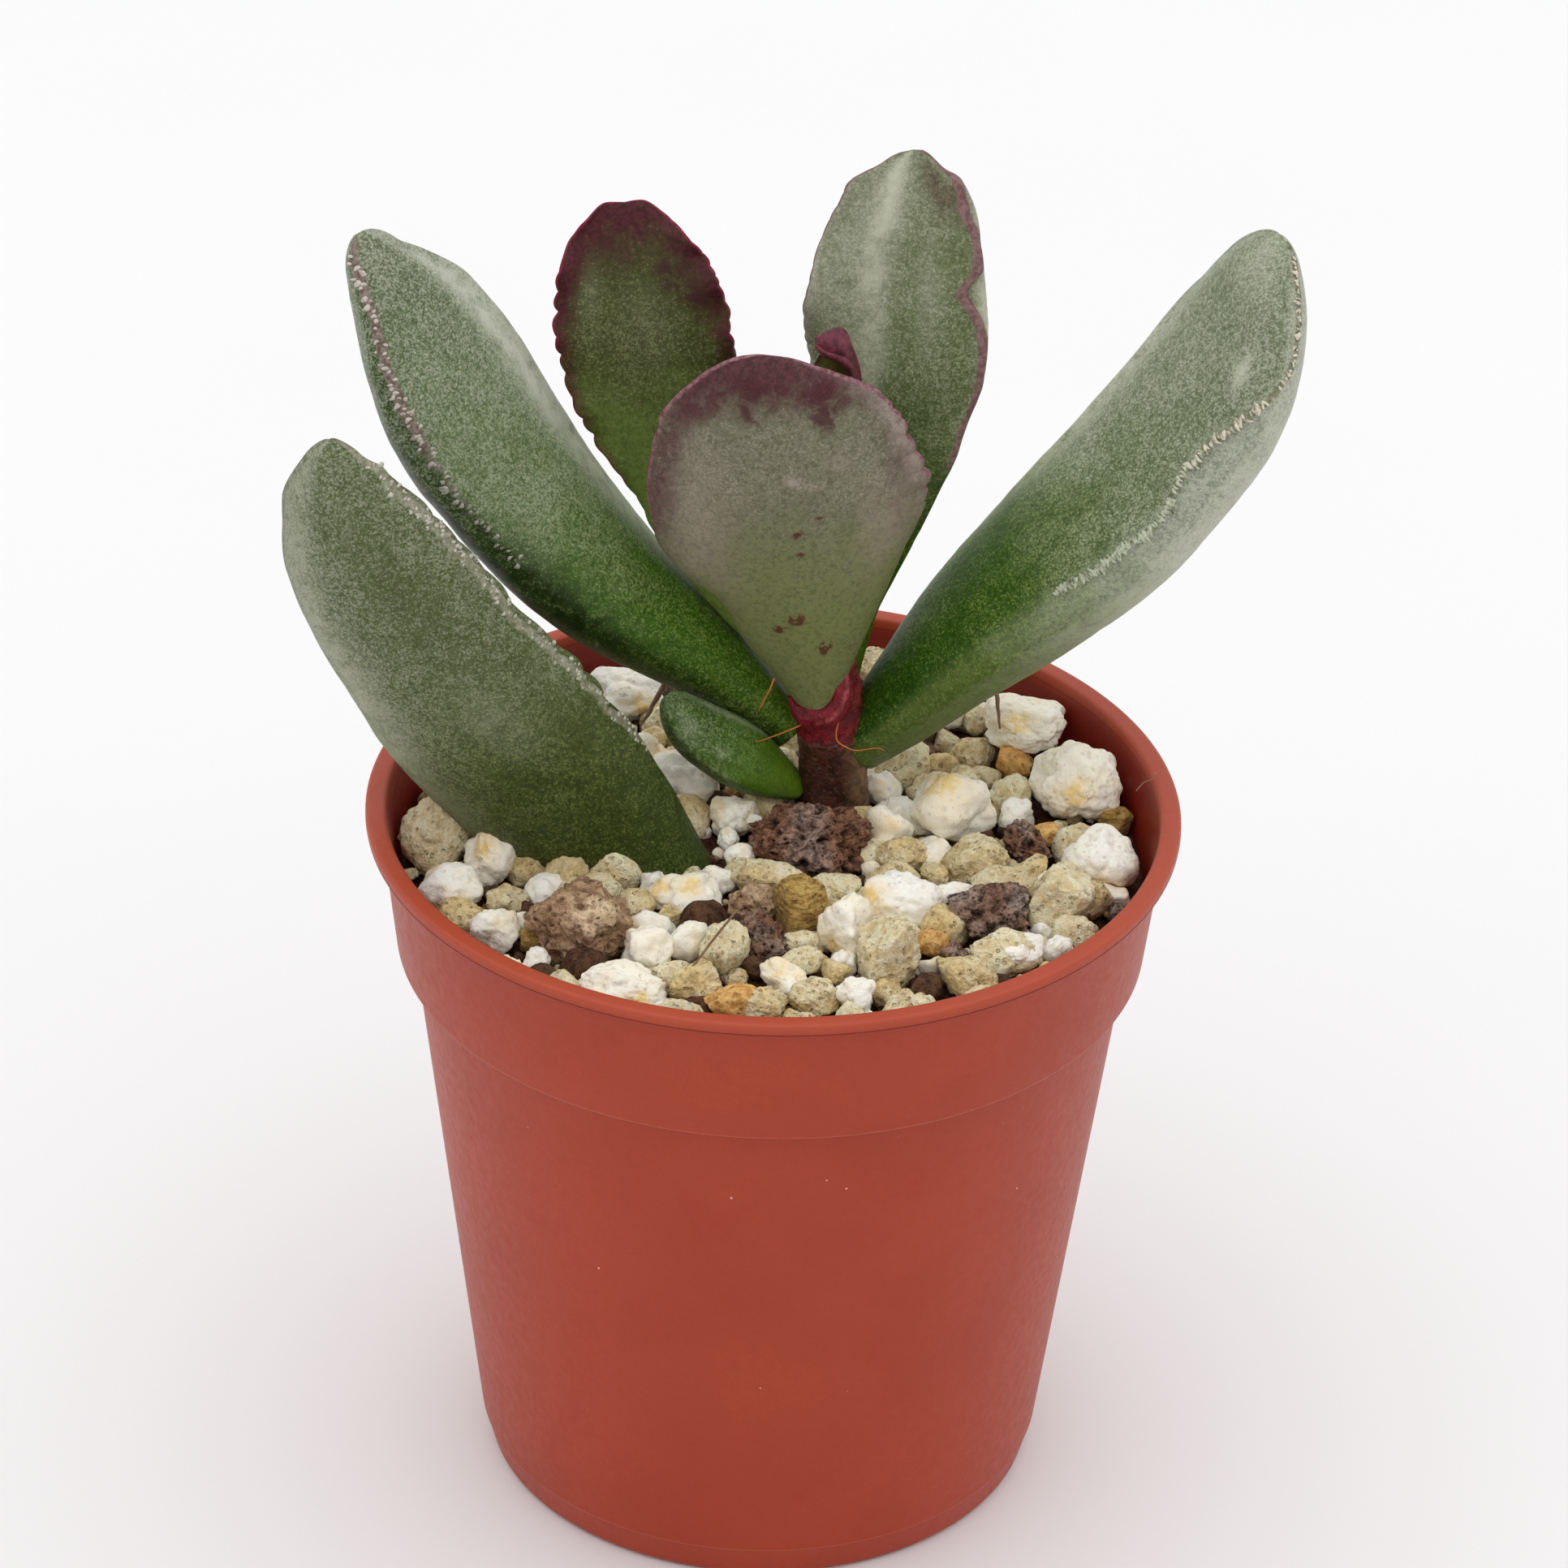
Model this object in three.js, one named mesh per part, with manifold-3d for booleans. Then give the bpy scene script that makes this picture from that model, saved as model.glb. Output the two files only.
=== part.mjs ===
// Potted adromischus blosianus: a short stem with eight thick leaves, in a small plastic nursery pot
// filled with a gritty mix of perlite, pumice, lava and bark.
// Millimetres, +Z up. The origin is the centre of the pot's underside, which stands on z = 0.
// The plant's front looks towards -Y, and +X is to the right of it.

import * as THREE from "three";
import { mergeVertices } from "three/addons/utils/BufferGeometryUtils.js";
import Module from "manifold-3d";

const wasm = await Module();
wasm.setup();

// Gap kept between neighbouring pieces
const GAP = 0.3;

// Pot
const POT_HEIGHT = 50.7;
const RIM_RADIUS = 27.5;
const RIM_THICKNESS = 0.9;
const LIP_WIDTH = 1.35;
const COLLAR_TOP_RADIUS = 26.5;
const COLLAR_BOTTOM_RADIUS = 25.4;
const COLLAR_BOTTOM = 40.5;
const LEDGE_HEIGHT = 0.9;
const BODY_TOP_RADIUS = 24.2;
const FOOT_HEIGHT = 2.6;
const FOOT_TOP_RADIUS = 19.5;
const BASE_RADIUS = 18.9;
const BASE_BEVEL = 0.4;
const WALL = 0.9;
const FLOOR = 1.2;
const POT_SIDES = 48;
const DRAIN_HOLES = 6;
const DRAIN_RADIUS = 2;
const DRAIN_CIRCLE = 12;
const DRAIN_SIDES = 12;

// Potting mix: its level, and the small grit that covers it
const MIX_LEVEL = 46;
const MIX_SIDES = 32;
const GRIT_COUNT = 50;
const GRIT_RADIUS = 1.35;
const GRIT_REACH = 24;
const GRIT_SPREAD = [0.8, 0.5];
const GRIT_SEED = 11;
const GRIT_FIRST_NUMBER = 100;

// Stones: their middle stands this far above the mix, and rises by a share of their half height.
// The largest ones have a node of their own.
const STONE_RISE = 0.3;
const STONE_LIFT = 0.35;
const NAMED_STONES = 24;

// Stone shapes, as shares of their half sizes: perlite is a round core with lobes, the others are
// broken by flat faces at distances in a range
const LOBE_COUNT = 6;
const LOBE_SIZE = 0.3;
const LOBE_SHARPNESS = 4;
const ROUND_CORE = 0.92;
const FACE_COUNT = 11;
const FACE_NEAREST = 0.8;
const FACE_RANGE = 0.22;
const CORNER_REACH = 1.12;

// Stem: centre line and radii from its buried end up to the growing tip
const STEM_LINE = [
  [4.4, 8.2, 40],
  [4.2, 8.0, 45],
  [3.9, 7.8, 50],
  [3.8, 7.6, 53],
  [3.9, 7.6, 55.4],
  [4.1, 7.8, 57.4],
];
const STEM_RADII = [2.3, 2.4, 2.35, 2.3, 1.9, 1.2];
const STEM_SIDES = 14;
const STEM_END = 0.5;

// Leaf surface grid
const LEAF_STATIONS = 32;
const SMALL_LEAF_STATIONS = 16;
const SMALL_LEAF_WIDTH = 3;
const FACE_POINTS = 3;
const BACK_POINTS = 4;
const LEAF_END = 0.4;
const RIDGE_HALF_WIDTH = 0.55;
const RIDGE_ANGLES = [0.12, 0.4];
const RIDGE_FADE = 0.2;
const CRINKLE_LOW = 0.4;
const CRINKLE_HIGH = 1.6;
const WAVE_FULL = 0.6;
const WAVE_EDGE = 6;

// Leaves. spine runs from the base to the tip; face says where the inner face looks, at the base and
// at the tip. halfWidth, inner and outer are the greatest half width and the depths of the inner and
// outer faces. shape and depth are the profiles along the leaf: where it is greatest, its share at the
// base, how it flares and how blunt it ends. lift is the angle by which the margin stands above the
// widest line, ridge its height, and bareTo how far up the margin stays smooth. wave is the swing of
// the margin, with waves along the leaf, and cup how far the margins bend towards the inner face.
const LEAVES = {
  right_leaf: {
    spine: [
      [4.9, 7.5, 50.5], [11.6, 8.5, 58.6], [18, 9.5, 64.9],
      [23.2, 10.5, 70], [29.2, 11.5, 78.6], [32.6, 12.5, 88.2],
    ],
    face: [[-0.73, -0.25, 0.63], [-0.85, -0.4, 0.34]],
    halfWidth: 8, inner: 3.3, outer: 5.5,
    shape: [0.68, 0.15, 0.7, 2.15], depth: [0.45, 0.45, 1, 2],
    lift: 36, ridge: 0.35, bareTo: 0.3, wave: 0, waves: 0, cup: 0,
  },
  left_leaf: {
    spine: [
      [1.2, 8.3, 51.6], [-4.7, 9.2, 56.3], [-12.3, 9.9, 62.7],
      [-19, 10.6, 71], [-23.8, 11.3, 79], [-28.7, 12, 86.7],
    ],
    face: [[0.52, -0.48, 0.71], [0.66, -0.57, 0.49]],
    halfWidth: 7, inner: 3, outer: 3.9,
    shape: [0.68, 0.2, 1.8, 1.6], depth: [0.45, 0.45, 1, 2],
    lift: 30, ridge: 0.35, bareTo: 0.3, wave: 0, waves: 0, cup: 0,
  },
  front_leaf: {
    spine: [
      [2.9, 6.1, 54.6], [1.5, 5.2, 63.6], [0.5, 4.2, 71.2],
      [-0.3, 3.3, 77.8], [-0.6, 2.5, 83.5],
    ],
    face: [[-0.08, 0.99, 0.06], [-0.04, 0.99, 0.16]],
    halfWidth: 9.3, inner: 1.2, outer: 2.2,
    shape: [0.54, 0.14, 1.15, 1.9], depth: [0.35, 0.6, 1, 2],
    lift: 0, ridge: 0.3, bareTo: 0.35, wave: 0.35, waves: 7, cup: 0.8,
  },
  back_left_leaf: {
    spine: [
      [2.4, 9.2, 54.4], [-2.8, 10.8, 61.4], [-6.4, 11.9, 68.8],
      [-8.8, 12.9, 75.8], [-10.4, 14, 82.6], [-11, 15, 88.2],
    ],
    face: [[0.08, -0.97, 0.23], [-0.1, -0.98, 0.19]],
    halfWidth: 5.9, inner: 1.3, outer: 1.8,
    shape: [0.72, 0.15, 1.3, 1.6], depth: [0.4, 0.6, 1, 2],
    lift: 0, ridge: 0.3, bareTo: 0.25, wave: 0.4, waves: 8, cup: 0.6,
  },
  back_right_leaf: {
    spine: [
      [3.9, 9.4, 54.6], [4.3, 10.4, 62.2], [5.8, 11.5, 70.1],
      [7.4, 12.5, 77.7], [7.6, 13.5, 85], [8.1, 14.5, 92.8],
    ],
    face: [[0.12, -0.99, 0.12], [0.1, -0.99, 0.1]],
    halfWidth: 6.05, inner: 1.2, outer: 1.9,
    shape: [0.75, 0.24, 1.27, 2], depth: [0.4, 0.6, 1, 2],
    lift: 0, ridge: 0.3, bareTo: 0.3, wave: 0.45, waves: 5, cup: 1,
  },
  mother_leaf: {
    spine: [
      [-3.4, 1, 40.8], [-10.2, 0.2, 47.2], [-17, -0.6, 55.4],
      [-22.4, -1.4, 63], [-27.2, -2.2, 71.4], [-29.4, -3, 79.4],
    ],
    face: [[-0.06, 1, 0.06], [0.25, 0.96, 0.16]],
    halfWidth: 8.2, inner: 2.4, outer: 3.9,
    shape: [0.46, 0.3, 1.2, 1.6], depth: [0.4, 0.7, 1, 2],
    lift: 10, ridge: 0.35, bareTo: 0.2, wave: 0, waves: 0, cup: 0,
  },
  small_leaf: {
    spine: [
      [2.3, 6.6, 47.3], [-1.3, 5.8, 50.3], [-5.2, 5.1, 53.2],
      [-7.5, 4.5, 56.1],
    ],
    face: [[0.64, -0.39, 0.66], [0.77, -0.47, 0.44]],
    halfWidth: 2.6, inner: 1.5, outer: 2.1,
    shape: [0.48, 0.35, 1, 1.6], depth: [0.5, 0.5, 1, 2],
    lift: 15, ridge: 0.15, bareTo: 0.3, wave: 0, waves: 0, cup: 0,
  },
  young_leaf: {
    spine: [
      [4, 8, 58], [3.7, 8, 65], [3.5, 7.7, 72],
      [3.6, 7.3, 78], [3.3, 6.9, 83.4],
    ],
    face: [[0.1, -0.99, 0.1], [0.35, -0.93, 0.1]],
    halfWidth: 2, inner: 0.5, outer: 0.8,
    shape: [0.7, 0.4, 1, 2], depth: [0.4, 0.7, 1, 2.4],
    lift: 0, ridge: 0.15, bareTo: 0.4, wave: 0.2, waves: 4, cup: -0.7,
  },
};

// Stones that show at the surface: kind, x, y, half width, half height and, where a stone
// leans on the wall or on others, its extra height
const STONES = [
  ["rose", -12.5, -10.5, 3.7, 3.1],
  ["lava", 2.4, 1, 4, 2.6],
  ["perlite", 20.8, 7.8, 3.3, 2.9, 0.7],
  ["perlite", 12.1, 5.2, 3.1, 2.7],
  ["perlite", 8.8, -6.4, 2.8, 2.5],
  ["perlite", 22.4, -0.9, 2.8, 2.5, 0.2],
  ["pumice", 8, -13.6, 2.2, 3],
  ["perlite", -10.5, 19.4, 2.8, 2.4],
  ["pumice", -22.6, 0, 2.4, 2.6, 0.2],
  ["pumice", 19.4, -5.8, 2.3, 2.6],
  ["perlite", -5.9, 8.6, 2.6, 2.3],
  ["lava", 14.9, -7.4, 3, 1.9],
  ["perlite", -9.8, -17.8, 3.3, 1.7],
  ["perlite", 17.2, 14.6, 3.3, 1.7, 1.6],
  ["perlite", 5, -10, 2, 2.6],
  ["perlite", -5.7, -5.8, 2.7, 1.9],
  ["bark", 2.1, -8.1, 2, 2.5],
  ["pumice", 13.9, -0.8, 2.4, 1.8],
  ["perlite", -8, -13.1, 2, 2.1],
  ["perlite", -19.2, -2.4, 1.9, 2.2],
  ["pumice", 15.7, -12.1, 2.5, 1.6],
  ["perlite", -21.3, -6.1, 2, 1.9],
  ["pumice", -3, -12.9, 1.6, 2.3],
  ["pumice", 9.1, 11.1, 1.9, 2],
  ["pumice", -0.5, -3.4, 2.5, 1.4],
  ["perlite", -18.4, -11, 1.8, 1.8],
  ["lava", -0.5, -11.6, 1.7, 2],
  ["pumice", 13, -15.2, 2.1, 1.5],
  ["perlite", -2.8, 4.5, 1.7, 1.7],
  ["perlite", 7.8, 2.8, 1.5, 1.9],
  ["lava", 17.1, 1.9, 2.1, 1.3],
  ["pumice", -4.8, -16.9, 1.7, 1.6],
  ["rose", -1.2, -6.9, 1.8, 1.4],
  ["pumice", 16.2, 8.2, 1.9, 1.3],
  ["perlite", 5.8, -17.8, 1.6, 1.5],
  ["perlite", 12.5, -5.2, 1.6, 1.4],
  ["perlite", 16.6, -12.6, 1.9, 1.1, 0.7],
  ["perlite", -5.3, -12.1, 1.2, 1.8],
  ["amber", -2.2, -18.9, 1.7, 1.3],
  ["pumice", 13.5, 13.7, 1.7, 1.2],
  ["pumice", 3.1, -18, 1.6, 1.3],
  ["perlite", 7.6, 8.4, 1.4, 1.4],
  ["pumice", -0.3, -18.9, 1.7, 1.2],
  ["pumice", 8.8, -0.1, 1.7, 1.2],
  ["perlite", 1.1, -15.5, 1.8, 1.1],
  ["pumice", -9.2, -7.4, 1.5, 1.3],
  ["pumice", 17.4, -2, 1.5, 1.3],
  ["amber", 16.4, 12.2, 1.5, 1.2, 0.3],
  ["pumice", 21.6, -4.9, 1.3, 1.4],
  ["perlite", 16.5, 5.7, 1.4, 1.3],
];

// Leaf, stem, pot and stone colours
const COLOURS = {
  pot: 0xa5442f,
  mix: 0x6b5a44,
  stem: 0x5a3035,
  mother_leaf: 0x5d6e4c,
  left_leaf: 0x55703f,
  right_leaf: 0x5c7549,
  front_leaf: 0x7f8a6e,
  back_left_leaf: 0x566140,
  back_right_leaf: 0x66785a,
  young_leaf: 0x70384a,
  small_leaf: 0x47632f,
  perlite: 0xe8e4da,
  pumice: 0xb8a878,
  lava: 0x5c4b4c,
  rose: 0x8d6f5c,
  bark: 0x8a6f3e,
  amber: 0xb98b48,
};

// Seeded random numbers between 0 and 1
const RANDOM_MULTIPLIER = 16807;
const RANDOM_MODULUS = 2147483647;
function randomFrom(seed) {
  let state = seed * 7919 + 17;
  return () => {
    state = (state * RANDOM_MULTIPLIER) % RANDOM_MODULUS;
    return state / RANDOM_MODULUS;
  };
}

function randomDirection(random) {
  const z = 2 * random() - 1;
  const turn = 2 * Math.PI * random();
  const flat = Math.sqrt(1 - z * z);
  return new THREE.Vector3(flat * Math.cos(turn), flat * Math.sin(turn), z);
}

// Solids from closed geometry, and back
function solidOf(geometry) {
  geometry.deleteAttribute("normal");
  geometry.deleteAttribute("uv");
  const merged = mergeVertices(geometry, 1e-4);
  const index = merged.index.array;
  const triangles = [];
  for (let i = 0; i < index.length; i += 3) {
    const [a, b, c] = [index[i], index[i + 1], index[i + 2]];
    if (a !== b && b !== c && c !== a) triangles.push(a, b, c);
  }
  const position = merged.attributes.position;
  const corner = [new THREE.Vector3(), new THREE.Vector3(), new THREE.Vector3()];
  let volume = 0;
  for (let i = 0; i < triangles.length; i += 3) {
    corner.forEach((v, k) => v.fromBufferAttribute(position, triangles[i + k]));
    volume += corner[0].dot(corner[1].cross(corner[2]));
  }
  if (volume < 0) triangles.reverse();
  const mesh = new wasm.Mesh({
    numProp: 3,
    vertProperties: new Float32Array(position.array),
    triVerts: new Uint32Array(triangles),
  });
  return new wasm.Manifold(mesh);
}

function largestBody(solid) {
  const bodies = solid.decompose();
  return bodies.reduce((best, body) => (body.volume() > best.volume() ? body : best));
}

function meshOf(name, solid, colour, roughness) {
  const { vertProperties, triVerts } = largestBody(solid).getMesh();
  const geometry = new THREE.BufferGeometry();
  geometry.setAttribute("position", new THREE.BufferAttribute(new Float32Array(vertProperties), 3));
  geometry.setIndex(new THREE.BufferAttribute(new Uint32Array(triVerts), 1));
  geometry.computeVertexNormals();
  const material = new THREE.MeshStandardMaterial({ color: colour, roughness, metalness: 0 });
  const mesh = new THREE.Mesh(geometry, material);
  mesh.name = name;
  return mesh;
}

// A skin over rings of equal length, closed by a point at each end
function loft(rings, start, end) {
  const sides = rings[0].length;
  const points = [start, ...rings.flat(), end];
  const last = points.length - 1;
  const index = [];
  for (let j = 0; j < sides; j += 1) {
    const next = (j + 1) % sides;
    index.push(0, 1 + next, 1 + j);
    for (let i = 0; i + 1 < rings.length; i += 1) {
      const low = 1 + i * sides;
      const high = low + sides;
      index.push(low + j, low + next, high + next);
      index.push(low + j, high + next, high + j);
    }
    const top = 1 + (rings.length - 1) * sides;
    index.push(top + j, top + next, last);
  }
  const geometry = new THREE.BufferGeometry().setFromPoints(points);
  geometry.setIndex(index);
  return geometry;
}

function lathe(profile, sides) {
  const points = profile.map(([radius, height]) => new THREE.Vector2(radius, height));
  return new THREE.LatheGeometry(points, sides).rotateX(Math.PI / 2);
}

// Pot wall: outer and inner outlines as [radius, height], from the floor upwards
function innerWall() {
  return [
    [BASE_RADIUS - WALL, FLOOR],
    [BODY_TOP_RADIUS - WALL, COLLAR_BOTTOM - LEDGE_HEIGHT],
    [COLLAR_BOTTOM_RADIUS - WALL, COLLAR_BOTTOM + LEDGE_HEIGHT],
    [RIM_RADIUS - LIP_WIDTH, POT_HEIGHT],
  ];
}

function pot() {
  const outline = [
    [0, 0],
    [BASE_RADIUS - BASE_BEVEL, 0],
    [BASE_RADIUS, BASE_BEVEL],
    [FOOT_TOP_RADIUS, FOOT_HEIGHT],
    [BODY_TOP_RADIUS, COLLAR_BOTTOM - LEDGE_HEIGHT],
    [COLLAR_BOTTOM_RADIUS, COLLAR_BOTTOM],
    [COLLAR_TOP_RADIUS, POT_HEIGHT - RIM_THICKNESS],
    [RIM_RADIUS, POT_HEIGHT - RIM_THICKNESS],
    [RIM_RADIUS, POT_HEIGHT],
    ...innerWall().reverse(),
    [0, FLOOR],
  ];
  let solid = solidOf(lathe(outline, POT_SIDES));
  for (let i = 0; i < DRAIN_HOLES; i += 1) {
    const turn = (2 * Math.PI * i) / DRAIN_HOLES;
    const hole = new THREE.CylinderGeometry(DRAIN_RADIUS, DRAIN_RADIUS, 4 * FLOOR, DRAIN_SIDES);
    hole.rotateX(Math.PI / 2);
    hole.translate(DRAIN_CIRCLE * Math.cos(turn), DRAIN_CIRCLE * Math.sin(turn), 0);
    solid = solid.subtract(solidOf(hole));
  }
  return solid;
}

// The room inside the pot, kept clear of its wall and floor, up to a height
function roomInside(top) {
  const wall = innerWall();
  const profile = [[0, FLOOR + GAP]];
  wall[0][1] += GAP;
  wall[3][1] = top;
  wall.forEach(([radius, height]) => profile.push([radius - GAP, height]));
  profile.push([0, top]);
  return solidOf(lathe(profile, MIX_SIDES));
}

function stem(grow) {
  const line = STEM_LINE.map((p) => new THREE.Vector3(...p));
  const rings = line.map((centre, i) => {
    const ring = [];
    for (let j = 0; j < STEM_SIDES; j += 1) {
      const turn = (2 * Math.PI * j) / STEM_SIDES;
      const arm = new THREE.Vector3(Math.cos(turn), Math.sin(turn), 0);
      ring.push(arm.multiplyScalar(STEM_RADII[i] + grow).add(centre));
    }
    return ring;
  });
  const up = new THREE.Vector3(0, 0, STEM_END + grow);
  const end = line[line.length - 1].clone().add(up);
  const start = line[0].clone().sub(up);
  return solidOf(loft(rings, start, end));
}

// Share of the greatest width or depth at t, from 0 at the base to 1 at the tip
function profile(t, [peak, neck, flare, blunt]) {
  const rise = neck + (1 - neck) * Math.sin((Math.PI / 2) * Math.min(t / peak, 1)) ** flare;
  const past = Math.max((t - peak) / (1 - peak), 0);
  return rise * Math.sqrt(Math.max(1 - past ** blunt, 0));
}

function smoothstep(low, high, x) {
  const u = Math.min(Math.max((x - low) / (high - low), 0), 1);
  return u * u * (3 - 2 * u);
}

// Angles round a leaf's section, with three points on each margin ridge
function sectionAngles(lift, half) {
  const angles = [];
  const firstFace = lift + half;
  const faceSpan = Math.PI - 2 * firstFace;
  const firstBack = Math.PI - lift + half;
  const backSpan = 2 * Math.PI + lift - half - firstBack;
  angles.push([lift - half, 0], [lift, 1], [lift + half, 0]);
  for (let i = 1; i <= FACE_POINTS; i += 1) {
    angles.push([firstFace + (faceSpan * i) / (FACE_POINTS + 1), 0]);
  }
  angles.push([Math.PI - lift - half, 0], [Math.PI - lift, 1], [firstBack, 0]);
  for (let i = 1; i <= BACK_POINTS; i += 1) {
    angles.push([firstBack + (backSpan * i) / (BACK_POINTS + 1), 0]);
  }
  return angles;
}

function leaf(spec, grow) {
  const points = spec.spine.map((p) => new THREE.Vector3(...p));
  const spine = new THREE.CatmullRomCurve3(points, false, "catmullrom", 0.5);
  const base = new THREE.Vector3(...spec.face[0]);
  const tip = new THREE.Vector3(...spec.face[1]);
  const stations = spec.halfWidth < SMALL_LEAF_WIDTH ? SMALL_LEAF_STATIONS : LEAF_STATIONS;
  const rings = [];
  for (let i = 0; i < stations; i += 1) {
    const u = i / stations;
    const t = 0.5 * u + 0.5 * Math.sin((Math.PI / 2) * u);
    const centre = spine.getPoint(t);
    const along = spine.getTangent(t);
    const normal = base.clone().lerp(tip, t);
    normal.addScaledVector(along, -normal.dot(along)).normalize();
    const side = along.clone().cross(normal);
    const ridge = spec.ridge * smoothstep(spec.bareTo, spec.bareTo + RIDGE_FADE, t);
    const half = Math.max(spec.halfWidth * profile(t, spec.shape) - ridge, 0.1) + grow;
    const depth = profile(t, spec.depth);
    const inner = spec.inner * depth + grow;
    const outer = spec.outer * depth + grow;
    const lift = THREE.MathUtils.degToRad(spec.lift) * (1 - t ** 3);
    const ridgeAngle = THREE.MathUtils.clamp(RIDGE_HALF_WIDTH / outer, ...RIDGE_ANGLES);
    const crinkle = i % 2 === 0 ? CRINKLE_LOW : CRINKLE_HIGH;
    const reach = spec.wave * smoothstep(spec.bareTo, WAVE_FULL, t);
    const swing = reach * Math.sin(2 * Math.PI * spec.waves * t);
    rings.push(sectionAngles(lift, ridgeAngle).map(([angle, onRidge]) => {
      const across = Math.cos(angle);
      const deep = (Math.sin(angle) > 0 ? inner : outer) * Math.sin(angle);
      const cup = spec.cup * (half / spec.halfWidth) * across ** 2;
      const bend = cup + swing * across ** WAVE_EDGE * Math.sign(across);
      const proud = onRidge * ridge * crinkle;
      const point = centre.clone();
      point.addScaledVector(side, (half + proud) * across);
      point.addScaledVector(normal, deep + bend + proud * Math.sin(angle));
      return point;
    }));
  }
  const start = spine.getPoint(0).addScaledVector(spine.getTangent(0), -LEAF_END - grow);
  const end = spine.getPoint(1).addScaledVector(spine.getTangent(1), grow);
  return solidOf(loft(rings, start, end));
}

// How far a stone reaches along a direction, as a share of its half sizes: round lobes on
// perlite, broken flat faces on the others
function stoneReach(kind, seed) {
  const random = randomFrom(seed);
  const round = kind === "perlite";
  const count = round ? LOBE_COUNT : FACE_COUNT;
  const features = [];
  for (let i = 0; i < count; i += 1) {
    features.push([randomDirection(random), random()]);
  }
  return (direction) => {
    if (round) {
      return features.reduce((reach, [axis, size]) => {
        const towards = Math.max(direction.dot(axis), 0);
        return reach + LOBE_SIZE * size * towards ** LOBE_SHARPNESS;
      }, ROUND_CORE);
    }
    return features.reduce((reach, [axis, size]) => {
      const towards = direction.dot(axis);
      return towards > 0 ? Math.min(reach, (FACE_NEAREST + FACE_RANGE * size) / towards) : reach;
    }, CORNER_REACH);
  };
}

function stone([kind, x, y, halfWidth, halfHeight, extra = 0], number, detail, grow) {
  const reach = stoneReach(kind, number + 1);
  const geometry = new THREE.IcosahedronGeometry(1, detail);
  const position = geometry.attributes.position;
  const direction = new THREE.Vector3();
  const halfDepth = 0.5 * (halfWidth + halfHeight);
  const half = new THREE.Vector3(halfWidth, halfDepth, halfHeight);
  const level = MIX_LEVEL + STONE_RISE + STONE_LIFT * halfHeight + extra;
  for (let i = 0; i < position.count; i += 1) {
    direction.fromBufferAttribute(position, i).normalize();
    const point = direction.clone().multiply(half).multiplyScalar(reach(direction));
    point.addScaledVector(direction, grow).add(new THREE.Vector3(x, y, level));
    position.setXYZ(i, point.x, point.y, point.z);
  }
  return solidOf(geometry);
}

// Small grit on a sunflower spiral, so that it covers the mix evenly
function grit() {
  const random = randomFrom(GRIT_SEED);
  const goldenAngle = Math.PI * (3 - Math.sqrt(5));
  const grains = [];
  for (let i = 0; i < GRIT_COUNT; i += 1) {
    const reach = GRIT_REACH * Math.sqrt((i + 0.5) / GRIT_COUNT);
    const turn = i * goldenAngle;
    const size = GRIT_RADIUS * (GRIT_SPREAD[0] + GRIT_SPREAD[1] * random());
    const x = reach * Math.cos(turn) + random() - 0.5;
    const y = reach * Math.sin(turn) + random() - 0.5;
    const covered = STONES.some((s) => Math.hypot(x - s[1], y - s[2]) < s[3] + 0.3 * size);
    if (!covered) grains.push(["pumice", x, y, size, 0.9 * size]);
  }
  return grains;
}

const group = new THREE.Group();
const room = roomInside(POT_HEIGHT + 2);
group.add(meshOf("pot", pot(), COLOURS.pot, 0.45));

// Plant: each piece is cut clear of the pieces that came before it
const plant = [stem(GAP)];
group.add(meshOf("stem", stem(0), COLOURS.stem, 0.7));
for (const [name, spec] of Object.entries(LEAVES)) {
  let solid = leaf(spec, 0);
  for (const neighbour of plant) solid = solid.subtract(neighbour);
  group.add(meshOf(name, solid, COLOURS[name], 0.55));
  plant.push(leaf(spec, GAP));
}

// Stones with a node of their own, largest first, cut clear of the plant, the pot and each other
const taken = [];
const counts = {};
STONES.slice(0, NAMED_STONES).forEach((spec, number) => {
  let solid = stone(spec, number, 1, 0).intersect(room);
  for (const neighbour of [...plant, ...taken]) solid = solid.subtract(neighbour);
  const kind = spec[0];
  counts[kind] = (counts[kind] ?? 0) + 1;
  group.add(meshOf(`${kind}_${counts[kind]}`, solid, COLOURS[kind], 0.9));
  taken.push(stone(spec, number, 1, GAP));
});

// Potting mix with the smaller stones and the grit joined to it
let mix = roomInside(MIX_LEVEL);
STONES.slice(NAMED_STONES).forEach((spec, i) => {
  mix = mix.add(stone(spec, NAMED_STONES + i, 0, 0));
});
grit().forEach((spec, i) => {
  mix = mix.add(stone(spec, GRIT_FIRST_NUMBER + i, 0, 0));
});
mix = mix.intersect(room);
for (const neighbour of [...plant, ...taken]) mix = mix.subtract(neighbour);
group.add(meshOf("potting_mix", mix, COLOURS.mix, 0.95));

export default group;
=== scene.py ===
"""Looks of a potted adromischus blosianus: eight thick leaves on a short stem, in a plastic nursery
pot filled with a gritty mix.

Sizes and places are in millimetres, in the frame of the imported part. Meshes are made in metres.
"""

import itertools
import math

import bmesh
import bpy
import numpy as np
from mathutils import Matrix, Vector


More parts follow.
